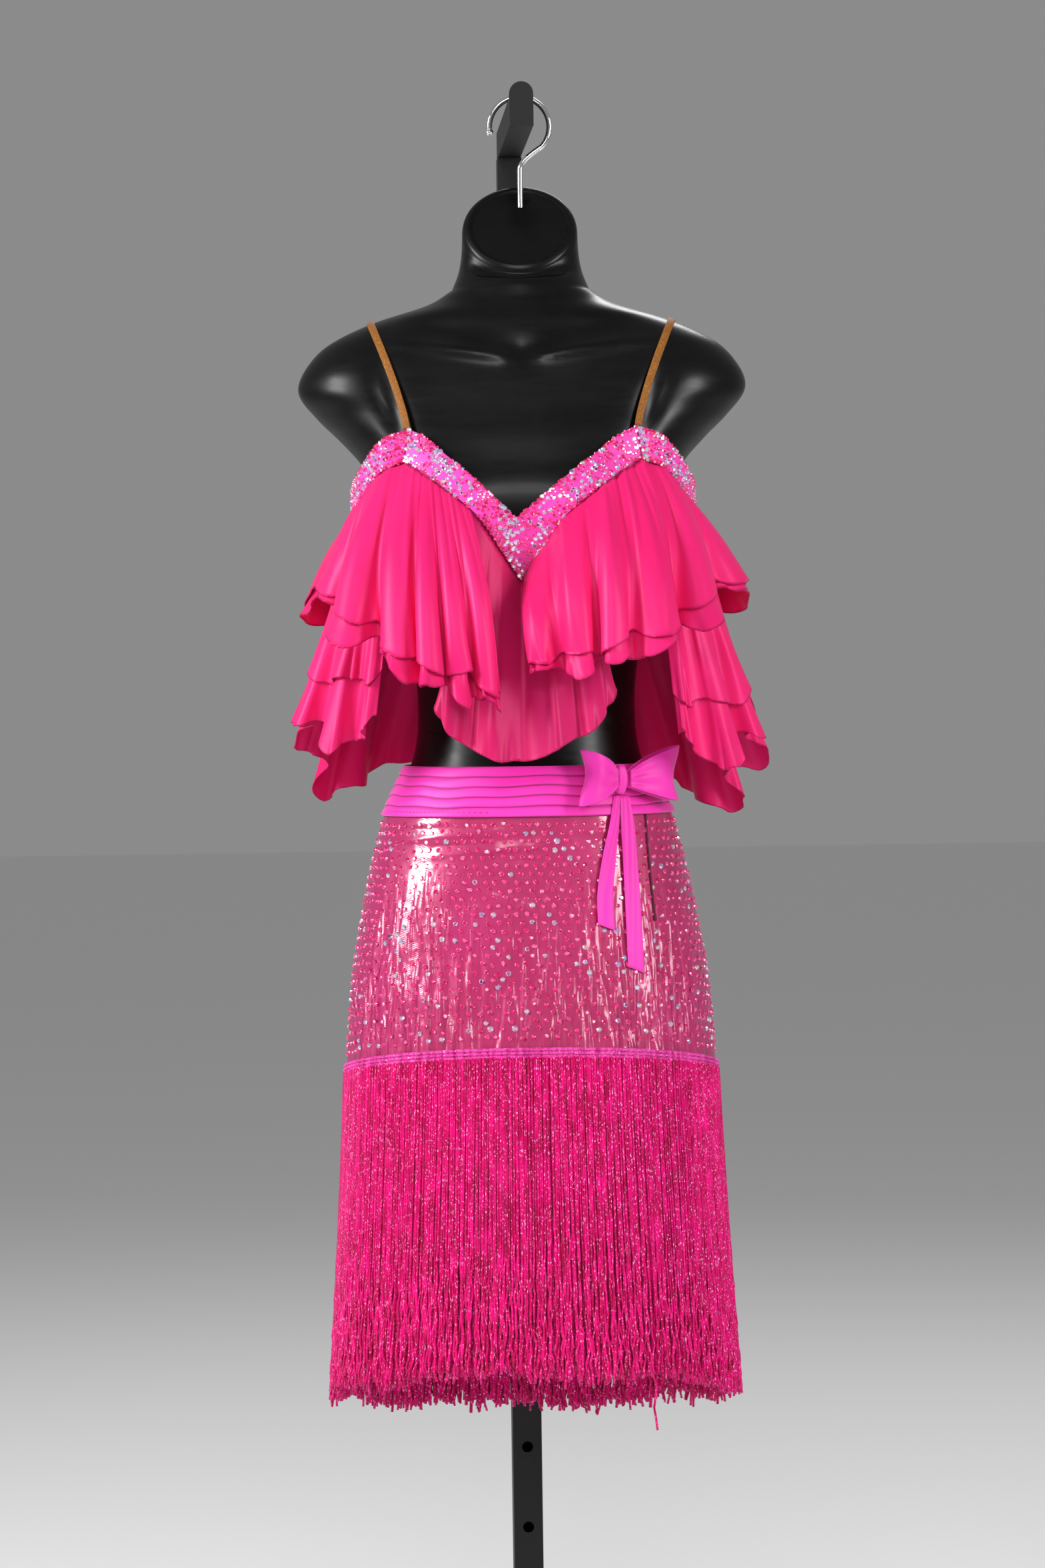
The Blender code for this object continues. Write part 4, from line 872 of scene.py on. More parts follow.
def strap(name, side):
    """A flat elastic strap from the band's peak over the shoulder to the back band."""
    near = np.linspace(1.36, 1.43, 141)
    top = near[section(FORM, near)[0] > STRAP_SIDE_X].max()
    turns = np.linspace(0, math.pi, 90)
    rise = np.sin(turns)
    front = turns < math.pi / 2
    z = part_way(np.where(front, STRAP_FRONT_Z, STRAP_BACK_Z), top, rise)
    x = part_way(np.where(front, STRAP_FRONT_X, STRAP_BACK_X), STRAP_SIDE_X, rise ** 1.2)
    line = stack(side * x, np.where(front, body_front(x, z), body_back(x, z)), z)
    outward = form_normal(line)
    line = moved(line, outward, STRAP_LIFT + STRAP_END_LIFT * (1 - rise) ** 2)
    across = unit(np.cross(unit(np.gradient(line, axis=0)), outward))
    profile = [(math.copysign(abs(math.cos(a)) ** 0.3, math.cos(a)), 0.5 + 0.5 * math.sin(a))
               for a in circle(16)]
    rings = np.stack([line + across * s * STRAP_WIDTH / 2 + outward * h * STRAP_WALL
                      for s, h in profile], axis=1)
    finish_piece(capped(f"{name}_elastic", rings, elastic(), inward=True), "elastic", name)


def elastic():
    """Woven tan elastic with pale threads."""
    made = Finish("tan_elastic", Roughness=0.6, Sheen_Weight=0.05, Specular_IOR_Level=0.3)
    grain = made.noise(1500, 1500, 500)
    made.set("Base Color", made.ramp(grain, (0.35, srgb(124, 72, 14)), (0.62, srgb(154, 96, 28)),
                                     (0.72, srgb(198, 150, 84))))
    made.bumped(grain, 0.4, 0.0003)
    return made.material


# Flounces

def loop_point(place, side):
    """The bottom edge of the band loop: the V, the arm band, then the back."""
    place = np.asarray(place, dtype=float)
    at = np.clip(place / V_END, 0, 1)
    x = side * read(BAND_V, "low_x", at) + v_lean(at, 1.0)
    z = read(BAND_V, "low_z", at)
    on_v = stack(side * x, body_front(x, z, BAND_MIDDLE), z)
    on_arm = arm_band_point(np.clip((place - V_END) / (ARM_END - V_END), 0, 1), 1.0)
    x = 0.095 * np.clip((1 - place) / (1 - ARM_END), 0, 1)
    on_back = stack(x, body_back(x, BAND_BACK_LOW, BACK_BAND_MIDDLE), BAND_BACK_LOW)
    points = np.where((place <= V_END)[:, None], on_v,
                      np.where((place <= ARM_END)[:, None], on_arm, on_back))
    return points * np.array([side, 1, 1])


def below_band(rows, side, at):
    """A flounce's gathered edge, a little below the band."""
    return loop_point(np.clip(read(rows, "loop", at), LOOP_FIRST, LOOP_LAST), side) - UP * FLOUNCE_DROP


def flounce_grid(rows, tops_at, side, waves, shares, belly, columns, phase=0.0, growth=1.15,
                 stretch=0.25, layer=0.0, drift=HEM_DRIFT):
    """A gathered flounce: straight at its top edge, in full waves at its hem."""
    places = np.linspace(0, 1, columns + 1)
    hem_x, hem_y, hem_z, wave = (read(rows, k, places) for k in ("hem_x", "hem_y", "hem_z", "wave"))
    hems = stack(side * hem_x, hem_y, hem_z)
    across = unit(np.gradient(hems, axis=0))
    out = unit(np.cross(across, UP) * side)
    turn = 2 * math.pi * waves * places + phase
    turn = turn + UNEVEN * np.sin(turn * 0.37 + 1.3)
    height = wave * (1 + 0.25 * np.sin(turn * 0.53 + side))
    share = np.asarray(shares)[:, None] * (1 + drift * np.sin(turn * 0.61 + layer))
    swing = height * share ** growth
    belly = belly * (1 - SIDE_FLATNESS * bump(places, SIDE_PLACE_MIDDLE, SIDE_PLACE_SPREAD))
    grid = part_way(tops_at(places), hems, share[..., None])
    grid = moved(grid, out, swing * (0.3 - np.cos(turn)))
    grid = moved(grid, out, belly * np.sin(math.pi * np.minimum(share, 1.0)))
    grid = moved(grid, across, swing * (0.25 * np.sin(2 * turn) - 0.3 * np.sin(turn)))
    grid[..., 2] -= stretch * swing * (1 - np.cos(turn)) * share
    return grid if side > 0 else grid[:, ::-1]


def hem_shares(reach, hem_share=0.022):
    """Rows down a flounce: even ones, then close ones for the rolled hem."""
    even = np.linspace(0, reach - hem_share * 2.5, 28)
    return np.concatenate([even, reach - hem_share * np.array([1.8, 1.1, 0.7, 0.35, 0.0])])


CURL_REACH = 0.30


def ripple(grid, shares, reach, side, waves, height, seed, rise=0.9, centre=1.0):
    """Small curls along the hem, uneven in size, that fade upwards."""
    places = np.linspace(0, 1, grid.shape[1])[::side]
    turn = 2 * math.pi * waves * places + seed
    turn = turn + 1.4 * np.sin(turn * 0.31 + seed) + 0.9 * np.sin(turn * 0.17 + 2 * seed)
    size = height * (0.55 + 0.45 * np.sin(turn * 0.23 + 1.7 * seed))
    size = size * (1 - (1 - centre) * bump(places, 0.5, 0.28))
    size = size * np.clip((shares - (reach - CURL_REACH)) / CURL_REACH, 0, 1)[:, None] ** 2.2
    facing, across = normals(grid), unit(np.gradient(grid, axis=1)) * side
    grid = moved(grid, facing, size * np.sin(turn))
    grid = moved(grid, across, -0.5 * size * np.sin(2 * turn))
    grid[..., 2] += size * rise * np.sin(turn * 0.5 + seed)
    return grid


CREASES = table(
    "place width rise start end lean",
    (0.045, 0.010, 0.0020, -0.1, 0.8, 0.010),
    (0.110, 0.007, -0.0018, 0.0, 0.6, 0.012),
    (0.165, 0.008, 0.0022, -0.1, 0.9, 0.006),
    (0.215, 0.006, -0.0020, 0.0, 0.5, 0.004),
    (0.270, 0.009, 0.0026, -0.1, 0.8, -0.004),
    (0.318, 0.006, -0.0024, -0.1, 0.5, 0.010),
    (0.352, 0.006, 0.0024, -0.1, 0.6, 0.012),
    (0.395, 0.005, -0.0024, -0.1, 0.6, 0.006),
    (0.430, 0.007, 0.0026, -0.1, 0.7, 0.000),
    (0.478, 0.006, -0.0020, 0.0, 0.7, -0.006),
    (0.520, 0.008, 0.0022, -0.1, 0.8, 0.004),
    (0.575, 0.006, -0.0018, 0.0, 0.6, 0.000),
    (0.640, 0.009, 0.0020, -0.1, 0.9, 0.008),
    (0.700, 0.007, -0.0020, 0.0, 0.6, -0.006),
    (0.765, 0.010, 0.0022, -0.1, 0.8, 0.004),
    (0.830, 0.007, -0.0018, 0.0, 0.7, 0.000),
    (0.890, 0.009, 0.0020, -0.1, 0.8, -0.010),
    (0.950, 0.008, -0.0016, 0.0, 0.6, 0.004))


def creases(grid, shares, rows):
    """Soft ridges and troughs down a flounce: place, width, height, start, end and lean."""
    columns = np.linspace(0, 1, grid.shape[1])
    shares = shares[:, None]
    height = np.zeros(grid.shape[:2])
    for place, width, rise, start, end, lean in rows_of(rows):
        line = place + lean * (shares - start)
        height += rise * bump(columns, line, width) * bump(shares, (start + end) / 2, (end - start) / 2)
    return moved(grid, normals(grid), height)


GATHER_PITCH, GATHER_HEIGHT, GATHER_END = 8.5 * MM, 0.4 * MM, 0.34


def gathers(grid, shares):
    """Fine pleats where the cloth is gathered into the band, gone a third of the way down."""
    turn = 2 * math.pi * measured(grid, 1)[0] / GATHER_PITCH
    wave = np.sin(turn + 1.1 * np.sin(turn * 0.21)) * (0.6 + 0.4 * np.sin(turn * 0.13 + 1))
    fade = np.clip(1 - shares / GATHER_END, 0, 1) ** 1.6 * np.clip(shares / 0.02, 0.3, 1)
    return moved(grid, normals(grid), GATHER_HEIGHT * fade[:, None] * wave)


def hemmed(name, middle, finish):
    """A cloth shell with a rolled hem along its lower edge."""
    down = measured(middle, 0)
    left = down[-1:] - down
    near = np.clip(left / HEM_WIDTH, 0, 1)
    roll = (HEM_ROLL - FLOUNCE_CLOTH) / 2 * np.sqrt(1 - (2 * near - 1) ** 2 * 0.92)
    half = FLOUNCE_CLOTH / 2 + np.where(near < 1, roll, 0.0)
    hem = np.clip(1.25 - left / HEM_WIDTH, 0, 1) * (left < HEM_WIDTH * 1.2)
    return thickened(name, middle, half, finish, hem=hem)


def flounce_layers(name, make_grid, outset, reaches, side, finish, ripple_height, waves):
    """The outer layer and the longer one under it, each on its own solid's middle."""
    step = FLOUNCE_WALL + LAYER_GAP
    for layer, end, deeper in (("outer", reaches[0], 0), ("under", reaches[1], 1)):
        shares = hem_shares(end)
        base = make_grid(shares, 2.5 * deeper)
        facing = normals(base)
        facing[0, :, 2] = 0
        depth = outset - FLOUNCE_WALL / 2 - deeper * (step + UNDER_SPREAD * np.clip(shares, 0, 1))
        middle = moved(base, unit(facing), depth[:, None])
        middle = gathers(creases(middle, shares, CREASES), shares)
        middle = ripple(middle, shares, end, side, waves + deeper * 3,
                        ripple_height * (1 + 0.3 * deeper), 2.0 + side + deeper * 0.8)
        made = hemmed(f"{name}_{layer}_cloth", middle, finish)
        finish_piece(made, "satin", f"{name}_{layer}")


def flounces(finish):
    """Upper and lower flounces on both sides, each in two layers."""
    upper = {"waves": 9, "belly": 0.016, "columns": 230}
    lower = {"waves": 7, "phase": 1.0, "belly": 0.0, "growth": 1.9, "columns": 190}
    for name, side, rows, shape, reaches in (
            ("upper_flounce_left", -1, UPPER_LEFT, upper, (1.0, 1.10)),
            ("upper_flounce_right", 1, UPPER_RIGHT, upper, (1.0, 1.10)),
            ("lower_flounce_left", -1, LOWER_SIDE, lower, (0.80, 1.01)),
            ("lower_flounce_right", 1, LOWER_SIDE, lower, (0.90, 1.09))):
        def grid(shares, layer, side=side, rows=rows, shape=shape):
            return flounce_grid(rows, lambda at: below_band(rows, side, at), side, shares=shares,
                                layer=layer, **shape)

        if shape is upper:
            flats = ((0.62, 0.150), (0.62, 0.165))
            flounce_layers(name, grid, 2.4 * MM, reaches, side, finish, 2.4 * MM, 26)
        else:
            flats = [(0.50, 0.235 * reach) for reach in reaches]
            flounce_layers(name, grid, -1.3 * MM, reaches, side, finish, 2.6 * MM, 20)


FRONT_CREASES = table(
    "place width rise start end lean",
    (0.10, 0.020, 0.0035, 0.4, 1.2, 0.02),
    (0.24, 0.018, -0.0030, 0.3, 1.2, 0.03),
    (0.36, 0.022, 0.0025, 0.3, 1.1, 0.02),
    (0.52, 0.030, -0.0020, 0.2, 0.9, 0.00),
    (0.66, 0.020, 0.0030, 0.4, 1.2, -0.02),
    (0.80, 0.018, -0.0035, 0.3, 1.2, -0.03),
    (0.92, 0.018, 0.0030, 0.4, 1.2, -0.02))


def front_panel(finish):
    """The smooth panel that hangs from the V behind the upper flounces."""
    outside = BODICE_OUT + LAYER_GAP + FLOUNCE_WALL

    def top(at):
        place = read(LOWER_FRONT, "place", at)
        x = np.copysign(read(BAND_V, "low_x", np.abs(place)), place) + v_lean(np.abs(place), 1.0)
        z = read(BAND_V, "low_z", np.abs(place)) - PANEL_DROP
        return stack(x, body_front(x, z, outside), z)

    shares = hem_shares(1.0, 0.014)
    base = flounce_grid(LOWER_FRONT, top, 1, 4, shares, belly=0.005, stretch=0.2, columns=180,
                        drift=0.0)
    middle = creases(base - normals(base) * FLOUNCE_WALL / 2, shares, FRONT_CREASES)
    middle = ripple(middle, shares, 1.0, 1, 9, 6.0 * MM, 4.1, rise=0.8, centre=0.2)
    made = hemmed("front_panel_cloth", middle, finish)
    finish_piece(made, "satin", "front_panel")


# Skirt and sash

def dip(angle):
    """How far the sash sinks towards the front."""
    return SASH_DIP * (0.5 + 0.5 * np.cos(angle))


def header_top(angle):
    """The height of the header's top, which is tilted up at the front."""
    return HEADER_SIDE_Z + HEADER_TILT * np.cos(angle)


def half_turn(front, seam, columns):
    """Angles across the front or the back, between the side seams."""
    edge = math.pi / 2 - seam
    angles = np.linspace(-edge, edge, columns)
    return angles if front else angles + math.pi


SKIRT_FOLDS = table(
    "angle width rise high low lean",
    (-62, 2.6, 0.0020, 0.93, 0.74, 2.0),
    (-54, 2.0, -0.0018, 0.90, 0.72, -2.0),
    (-47, 2.4, 0.0022, 0.86, 0.71, 1.5),
    (-39, 1.8, -0.0020, 0.84, 0.71, -1.0),
    (-33, 2.2, 0.0022, 0.83, 0.71, 1.0),
    (-25, 1.6, -0.0018, 0.82, 0.72, 2.0),
    (-18, 2.0, 0.0020, 0.81, 0.72, -1.5),
    (-10, 1.8, -0.0012, 0.80, 0.73, 1.0),
    (12, 2.4, 0.0010, 0.82, 0.74, -1.0),
    (24, 2.0, 0.0018, 0.83, 0.73, 1.5),
    (31, 1.6, -0.0018, 0.82, 0.72, -1.5),
    (40, 2.2, 0.0022, 0.86, 0.72, 1.0),
    (50, 2.0, -0.0016, 0.88, 0.72, -1.0),
    (61, 2.4, 0.0018, 0.90, 0.74, 1.5),
    (118, 2.4, 0.0018, 0.90, 0.73, -1.5),
    (131, 2.0, -0.0018, 0.86, 0.72, 1.0),
    (143, 2.2, 0.0020, 0.84, 0.71, -1.0),
    (158, 1.8, -0.0016, 0.83, 0.71, 1.5),
    (172, 2.2, 0.0016, 0.82, 0.70, -1.0),
    (188, 2.0, -0.0016, 0.83, 0.71, 1.0),
    (203, 2.2, 0.0020, 0.84, 0.70, -1.5),
    (219, 1.8, -0.0018, 0.86, 0.71, 1.0),
    (233, 2.4, 0.0018, 0.90, 0.73, 1.0))

WAIST_FOLDS = table(
    "angle spread z thick rise slope",
    (-48, 14, 0.9360, 0.0022, 0.0012, 0.0001),
    (-42, 16, 0.9300, 0.0020, -0.0010, 0.0001),
    (-36, 18, 0.9225, 0.0024, 0.0013, 0.0002),
    (-28, 16, 0.9150, 0.0022, -0.0009, 0.0002),
    (-20, 14, 0.9085, 0.0024, 0.0010, 0.0002),
    (28, 14, 0.9260, 0.0024, 0.0009, -0.0002),
    (34, 12, 0.9160, 0.0022, -0.0008, -0.0002),
    (150, 16, 0.9300, 0.0024, 0.0010, 0.0001),
    (205, 18, 0.9240, 0.0024, 0.0010, -0.0001))


def skirt_relief(angles, heights):
    """The skirt's wrinkles: long ones down to the fringe, short ones under the sash."""
    turn = np.degrees(angles)
    turn = np.where(turn < -100, turn + 360, turn)
    rise = np.zeros(np.broadcast(turn, heights).shape)
    for angle, width, height, high, low, lean in rows_of(SKIRT_FOLDS):
        share = (high - heights) / (high - low)
        line = angle + lean * np.sin(share * 4.0)
        rise += height * np.clip(share, 0, 1) ** 0.8 * bump(turn, line, width)
    for angle, spread, z, thick, height, slope in rows_of(WAIST_FOLDS):
        rise += height * bump(turn, angle, spread) * bump(heights, z + slope * (turn - angle), thick)
    return rise


def skirt():
    """The stretched skirt from under the sash to behind the fringe's header."""
    finish = foil()
    shares = np.concatenate([np.linspace(0, 0.15, 4)[:-1], np.linspace(0.15, 0.34, 25)[:-1],
                             np.linspace(0.34, 1, 28)])[:, None]
    for name, front in (("skirt_front", True), ("skirt_back", False)):
        angles = half_turn(front, 0.0022, 190)
        heights = part_way(SASH_TOP - 1.5 * MM - dip(angles),
                           header_top(angles) - HEADER_HEIGHT + 1.5 * MM, shares)
        below_sash = np.clip((SASH_BOTTOM - heights) / 0.02, 0, 1)
        outer = skirt_point(angles, heights, -0.05 * MM + skirt_relief(angles, heights) * below_sash)
        made = shell(f"{name}_cloth", outer, outer - normals(outer) * CLOTH, finish)
        finish_piece(made, "foil", name)


def foil():
    """Stretch cloth with a mirror foil on it, in a fine twill, crushed towards the fringe."""
    made = Finish("foil_cloth", Metallic=0.14, Roughness=0.42, Coat_Weight=0.72,
                  Coat_Roughness=0.10, Coat_IOR=1.68)
    body = made.ramp(made.noise(11, 11, 8, Detail=4.0), (0.25, srgb(152, 8, 70)),
                     (0.5, srgb(176, 14, 88)), (0.8, srgb(198, 34, 116)))
    facing = made.add("LayerWeight", Blend=0.45)
    shift = made.ramp(facing.outputs["Facing"], (0.0, srgb(182, 20, 96)), (0.5, srgb(168, 20, 104)),
                      (1.0, srgb(190, 50, 146)))
    made.set("Base Color", made.mix(0.35, body.outputs[0], shift.outputs[0]))
    made.bumped(made.bands("Object", "DIAGONAL", 330.0, Distortion=2.0, Detail=1.0), 0.10, 0.0003)
    level = made.add("SeparateXYZ", {"Vector": made.coordinates()}).outputs["Z"]
    crush = made.calculate("MULTIPLY", made.noise(120, 120, 15, Detail=1.4, Distortion=0.5),
                           made.between(level, 0.90, 0.77))
    soft = made.calculate("MULTIPLY", made.noise(26, 26, 34, Detail=2.5), 0.35)
    relief = made.bumped(made.calculate("ADD", crush, soft), 1.0, 0.0064)
    made.join(relief, made.shader.inputs["Coat Normal"])
    return made.material


PLACKET = table(
    "x z",
    (0.1075, 0.9450),
    (0.1085, 0.9200),
    (0.1110, 0.8850),
    (0.1145, 0.8440))


def placket():
    """The slit beside the bow, where the skirt is fastened: a thin raised edge along it, coloured dark
    red as painted shade of the slit, with a bar at its end.
    """
    z = np.linspace(PLACKET["z"][0], PLACKET["z"][-1], 60)
    x = read_down(PLACKET, "x", z)
    middle = stack(x, depth_at(SKIRT, x, z, 0.5 * MM), z)
    radii = np.full(len(z), 1.15 * MM)
    radii[-4:] = 1.8 * MM
    # The edge's dark red is painted shade: it stands for the shade in the slit, and the edge itself is
    # real.
    made = tube("placket_edge", middle, radii, 8, plain("placket_shade", srgb(84, 2, 34), 0.7))
    finish_piece(made, "foil")


STITCH_PLACES = np.radians(np.arange(-72, -14, 2.3))
STITCH_TURN = math.radians(1.1)
STITCH_HALF = 0.25 * MM
BOX_FACES = ((0, 1, 2, 3), (4, 7, 6, 5), (0, 4, 5, 1), (1, 5, 6, 2), (2, 6, 7, 3), (3, 7, 4, 0))


def sash_stitches(finish):
    """A running stitch along the lowest pleat, at the viewer's left."""
    points, faces = [], []
    corners = np.array([(-1, -1), (1, -1), (1, 1), (-1, 1)]) * STITCH_HALF
    for place in STITCH_PLACES:
        faces += [[len(points) + i for i in face] for face in BOX_FACES]
        for turn in (place, place + STITCH_TURN):
            z = SASH_BOTTOM - dip(turn) + 4.6 * MM
            points += [skirt_point(turn, z + wide, LAYER_GAP + SASH_BASE + PLEAT_RISE * 0.9 + out)
                       for wide, out in corners]
    made = mesh_object("sash_stitches", points, faces, finish, smooth_shading=False)
    finish_piece(made, "sash")


def sash_rise(share):
    """Five soft pleats, one above the other, each with a crisp lower edge."""
    at = np.clip(share, 0, 0.99999) * PLEATS
    within = at - np.floor(at)
    rounded = np.sin(np.clip(within / 0.80, 0, 1) * math.pi / 2) ** 0.55
    edge = np.clip((1 - within) / 0.10, 0, 1) ** 0.6
    return rounded * edge


def sash():
    """The sash's front and back, each in five pleats, with painted shade in the grooves between them."""
    finish = magenta_cloth("sash_cloth", srgb(238, 32, 170), srgb(248, 48, 188))
    shares = np.linspace(0, 1, PLEATS * 11 + 1)[:, None]
    within = (shares * PLEATS) % 1.0
    # Painted shade in the grooves between the pleats, passed to the shell as its hem mark.
    painted_groove_shade = np.maximum(bump(within, 1.0, 0.07), bump(within, 0.0, 0.10)) * np.clip(shares * 12, 0, 1)
    for name, front in (("sash_front", True), ("sash_back", False)):
        angles = half_turn(front, 0.0026, 120)
        top, low = SASH_TOP - dip(angles), SASH_BOTTOM - dip(angles)
        drift = 0.0011 * np.sin(angles * 5 + 1) + 0.0007 * np.sin(angles * 13)
        heights = part_way(top, low, shares) + drift * np.sin(math.pi * shares)
        rise = sash_rise(shares) * (1 + 0.18 * np.sin(angles * 9 + shares * 7))
        outer = skirt_point(angles, heights, LAYER_GAP + SASH_BASE + PLEAT_RISE * 0.95 * rise)
        inner = skirt_point(angles, heights, LAYER_GAP)
        made = shell(f"{name}_cloth", outer, inner, finish, hem=painted_groove_shade + 0 * angles)
        finish_piece(made, "sash", name)
    return finish


# Bow

def bow_frame():
    """The knot's place on the sash, and the directions to its right and outward."""
    y = float(depth_at(SKIRT, BOW_X, BOW_Z, LAYER_GAP + SASH_BASE + PLEAT_RISE + 0.4 * MM))
    right = np.array((math.cos(BOW_YAW), math.sin(BOW_YAW), 0))
    out = np.array((math.sin(BOW_YAW), -math.cos(BOW_YAW), 0))
    return np.array((BOW_X, y, BOW_Z)), right, out


def bow_loop(name, side, length, lift, finish):
    """A ribbon that runs out from the knot, turns and comes back behind itself."""
    origin, right, out = bow_frame()
    count = len(LOOP_SHAPE["along"])
    at = np.linspace(0, count - 1, 110)
    height = np.linspace(1, -1, 41)[:, None]
    along, depth, half_height, raised = (
        smooth(np.arange(count, dtype=float), LOOP_SHAPE[k], at) for k in LOOP_SHAPE)
    rise = half_height * height + raised + lift * along
    pleat = np.cos(height * 8.5 + 0.8 * side) * np.exp(-along * 2.4) * 0.0016
    sag = 0.0022 * np.sin(height * 2.4 + along * 2.2 + side) * along
    front = np.clip(1 - at / (count * 0.5), 0, 1) * np.clip(along * 6, 0, 1)
    depth = depth + BOW_LIFT + (pleat + sag) * front
    curve = 0.004 * np.cos(height * 2.6 + 0.5 * side) * along ** 3
    reach = side * (KNOT_SIZE[0] / 2 + 0.4 * MM + length * along - curve)
    grid = moved(moved(moved(origin, right, reach), out, depth), UP, rise)
    made = thickened(f"{name}_cloth", grid[:, ::-side], LOOP_CLOTH / 2, finish)
    finish_piece(made, "sash", name)


def bow_knot(finish):
    """The wrap in the middle, with soft upright folds."""
    origin, right, out = bow_frame()
    centre = origin + out * (KNOT_SIZE[1] / 2 + 0.9 * MM)
    turns = circle(48)
    level = np.linspace(0.04, math.pi - 0.04, 34)[:, None]
    fold = 1 + 0.10 * np.sin(turns * 5 + 1.5 * np.cos(level * 2)) * np.sin(level)
    wide, deep, tall = np.array(KNOT_SIZE) / 2
    wrap = np.sin(level) ** 0.75 * fold
    grid = moved(moved(centre, right, np.sin(turns) * wrap * wide), out, np.cos(turns) * wrap * deep)
    grid = moved(grid, UP, np.cos(level) * tall + 0 * turns)
    finish_piece(capped("bow_knot_cloth", grid, finish), "sash", "bow_knot")


def bow_tails(finish):
    """Two ribbons that hang from the knot, each cut slanting at its end."""
    shares = np.linspace(0, 1, 60)[:, None]
    across = np.linspace(-1, 1, 17)
    slant = 0.006 * (across + 1) / 2 * np.clip((shares - 0.85) / 0.15, 0, 1)
    fold = 0.0011 * np.cos(across * 4.2 + shares * 5) * np.clip(1 - shares * 0.5, 0, 1)
    for name, rows in TAILS.items():
        z = part_way(rows["z"][0], rows["z"][-1], shares)
        edge = read_down(rows, "x", z) + read_down(rows, "half_width", z) * across
        lift = read_down(rows, "stand_off", z) - 0.5 * RIBBON + 0.6 * fold
        grid = stack(edge, depth_at(SKIRT, edge, z, lift), z - slant)
        made = thickened(f"{name}_cloth", grid, CLOTH / 2, finish)
        finish_piece(made, "sash", name)


# Fringe

def even_angles(z, count):
    """Angles whose points are an equal way apart round the skirt."""
    fine = np.linspace(0, 2 * math.pi, 2001)
    steps = np.linalg.norm(np.diff(skirt_point(fine, z), axis=0), axis=1)
    travelled = np.concatenate([[0], np.cumsum(steps)])
    return np.interp(np.linspace(0, travelled[-1], count, endpoint=False), travelled, fine)


CHAIN_LOOPS, CHAIN_STEPS = 330, 4
CHAIN_DROPS = (1.7 * MM, 5.0 * MM, 8.3 * MM)


def header():
    """Three rows of chain stitches over a woven strip."""
    finish = cord_finish("header_cord", srgb(190, 26, 122), srgb(248, 88, 188), 260.0)
    angles = circle(400)
    heights = header_top(angles) - HEADER_HEIGHT * np.linspace(0, 1, 6)[:, None]
    strip = shell("fringe_tape", skirt_point(angles, heights, 1.7 * MM),
                  skirt_point(angles, heights, 0.7 * MM), finish, ring=True)
    finish_piece(strip, "fringe")
    turns = even_angles(HEADER_SIDE_Z, CHAIN_LOOPS * CHAIN_STEPS)
    beat = np.arange(len(turns)) * 2 * math.pi / CHAIN_STEPS
    for row, drop in enumerate(CHAIN_DROPS):
        middle = skirt_point(turns, header_top(turns) - drop, 2.0 * MM)
        middle[:, 2] += 0.25 * MM * np.sin(beat + row * 2.1)
        radii = 1.0 * MM + 0.35 * MM * np.abs(np.sin(beat / 2 + row))
        made = ring_tube(f"fringe_chain_{row}", middle, radii, 5, finish)
        finish_piece(made, "fringe")


def ring_tube(name, middle, radii, sides, finish):
    """A cord along a line of points that runs round the skirt and meets itself."""
    along = unit(np.roll(middle, -1, axis=0) - np.roll(middle, 1, axis=0))
    points = middle[:, None] + rims(circle(sides), unit(np.cross(along, UP)), UP) * radii[:, None, None]
    index = grid_index(len(middle), sides)
    index = np.concatenate([index, index[:1]])
    return mesh_object(name, points.reshape(-1, 3), quads(index, inward=True), finish)


STRAND_BEND = 0.55
STRAND_STEPS_ABOVE, STRAND_STEPS_BELOW = 4, 15
STRAY_ANGLE = math.radians(31)
STRAY_EXTRA = 0.054
STRAND_SIDES = 4
FRINGE_LAYERS = table(
    "count grow flare shorter radius",
    (580, 0.0026, 0.0160, 0.000, 0.00090),
    (540, 0.0014, 0.0125, 0.002, 0.00105),
    (480, 0.0004, 0.0080, 0.004, 0.00135))


def strand_paths(chance, count, grow, flare, shorter):
    """The middle lines of one layer's strands: straight at first, then more and more kinked."""
    angles = even_angles(HEADER_SIDE_Z, count)
    angles = angles + chance.normal(0, 0.25, count) * (2 * math.pi / count)
    top = header_top(angles) - HEADER_HEIGHT + 2.0 * MM
    root = skirt_point(angles, top, grow)
    away = unit(root * np.array([1, 1, 0]))
    slow = 3.0 * MM * np.sin(angles * 7) + 1.5 * MM * np.sin(angles * 17 + 1)
    length = (FRINGE_LENGTH - FRINGE_LONGER_BACK * np.cos(angles) - shorter + slow
              + chance.normal(0, 4.2 * MM, count))
    if shorter == 0:
        length[np.argmin(np.abs(angles - STRAY_ANGLE))] += STRAY_EXTRA
    share = np.concatenate([np.linspace(0, STRAND_BEND, STRAND_STEPS_ABOVE + 1)[:-1],
                            np.linspace(STRAND_BEND, 1, STRAND_STEPS_BELOW + 1)])
    drift = chance.normal(0, 1, (4, count, 1))
    turn = share * 2 * math.pi
    curl = share ** 3
    side = (0.8 * MM * np.sin(turn * 1.3 + drift[0] * 3) * share
            + 1.3 * MM * np.sin(turn * 7.0 + drift[1] * 3) * curl
            + 1.1 * MM * np.sin(turn * 13.0 + drift[3] * 3) * curl + 1.6 * MM * drift[2] * curl
            + 1.3 * MM * np.sin(angles * 41 + shorter / MM)[:, None] * share ** 1.5)
    outward = flare * share ** 1.15 + 1.3 * MM * np.sin(turn * 9.0 + drift[3] * 3) * curl
    line = moved(moved(root[:, None], away[:, None], outward), np.cross(away, UP)[:, None], side)
    line[..., 2] -= length[:, None] * share
    return angles, line


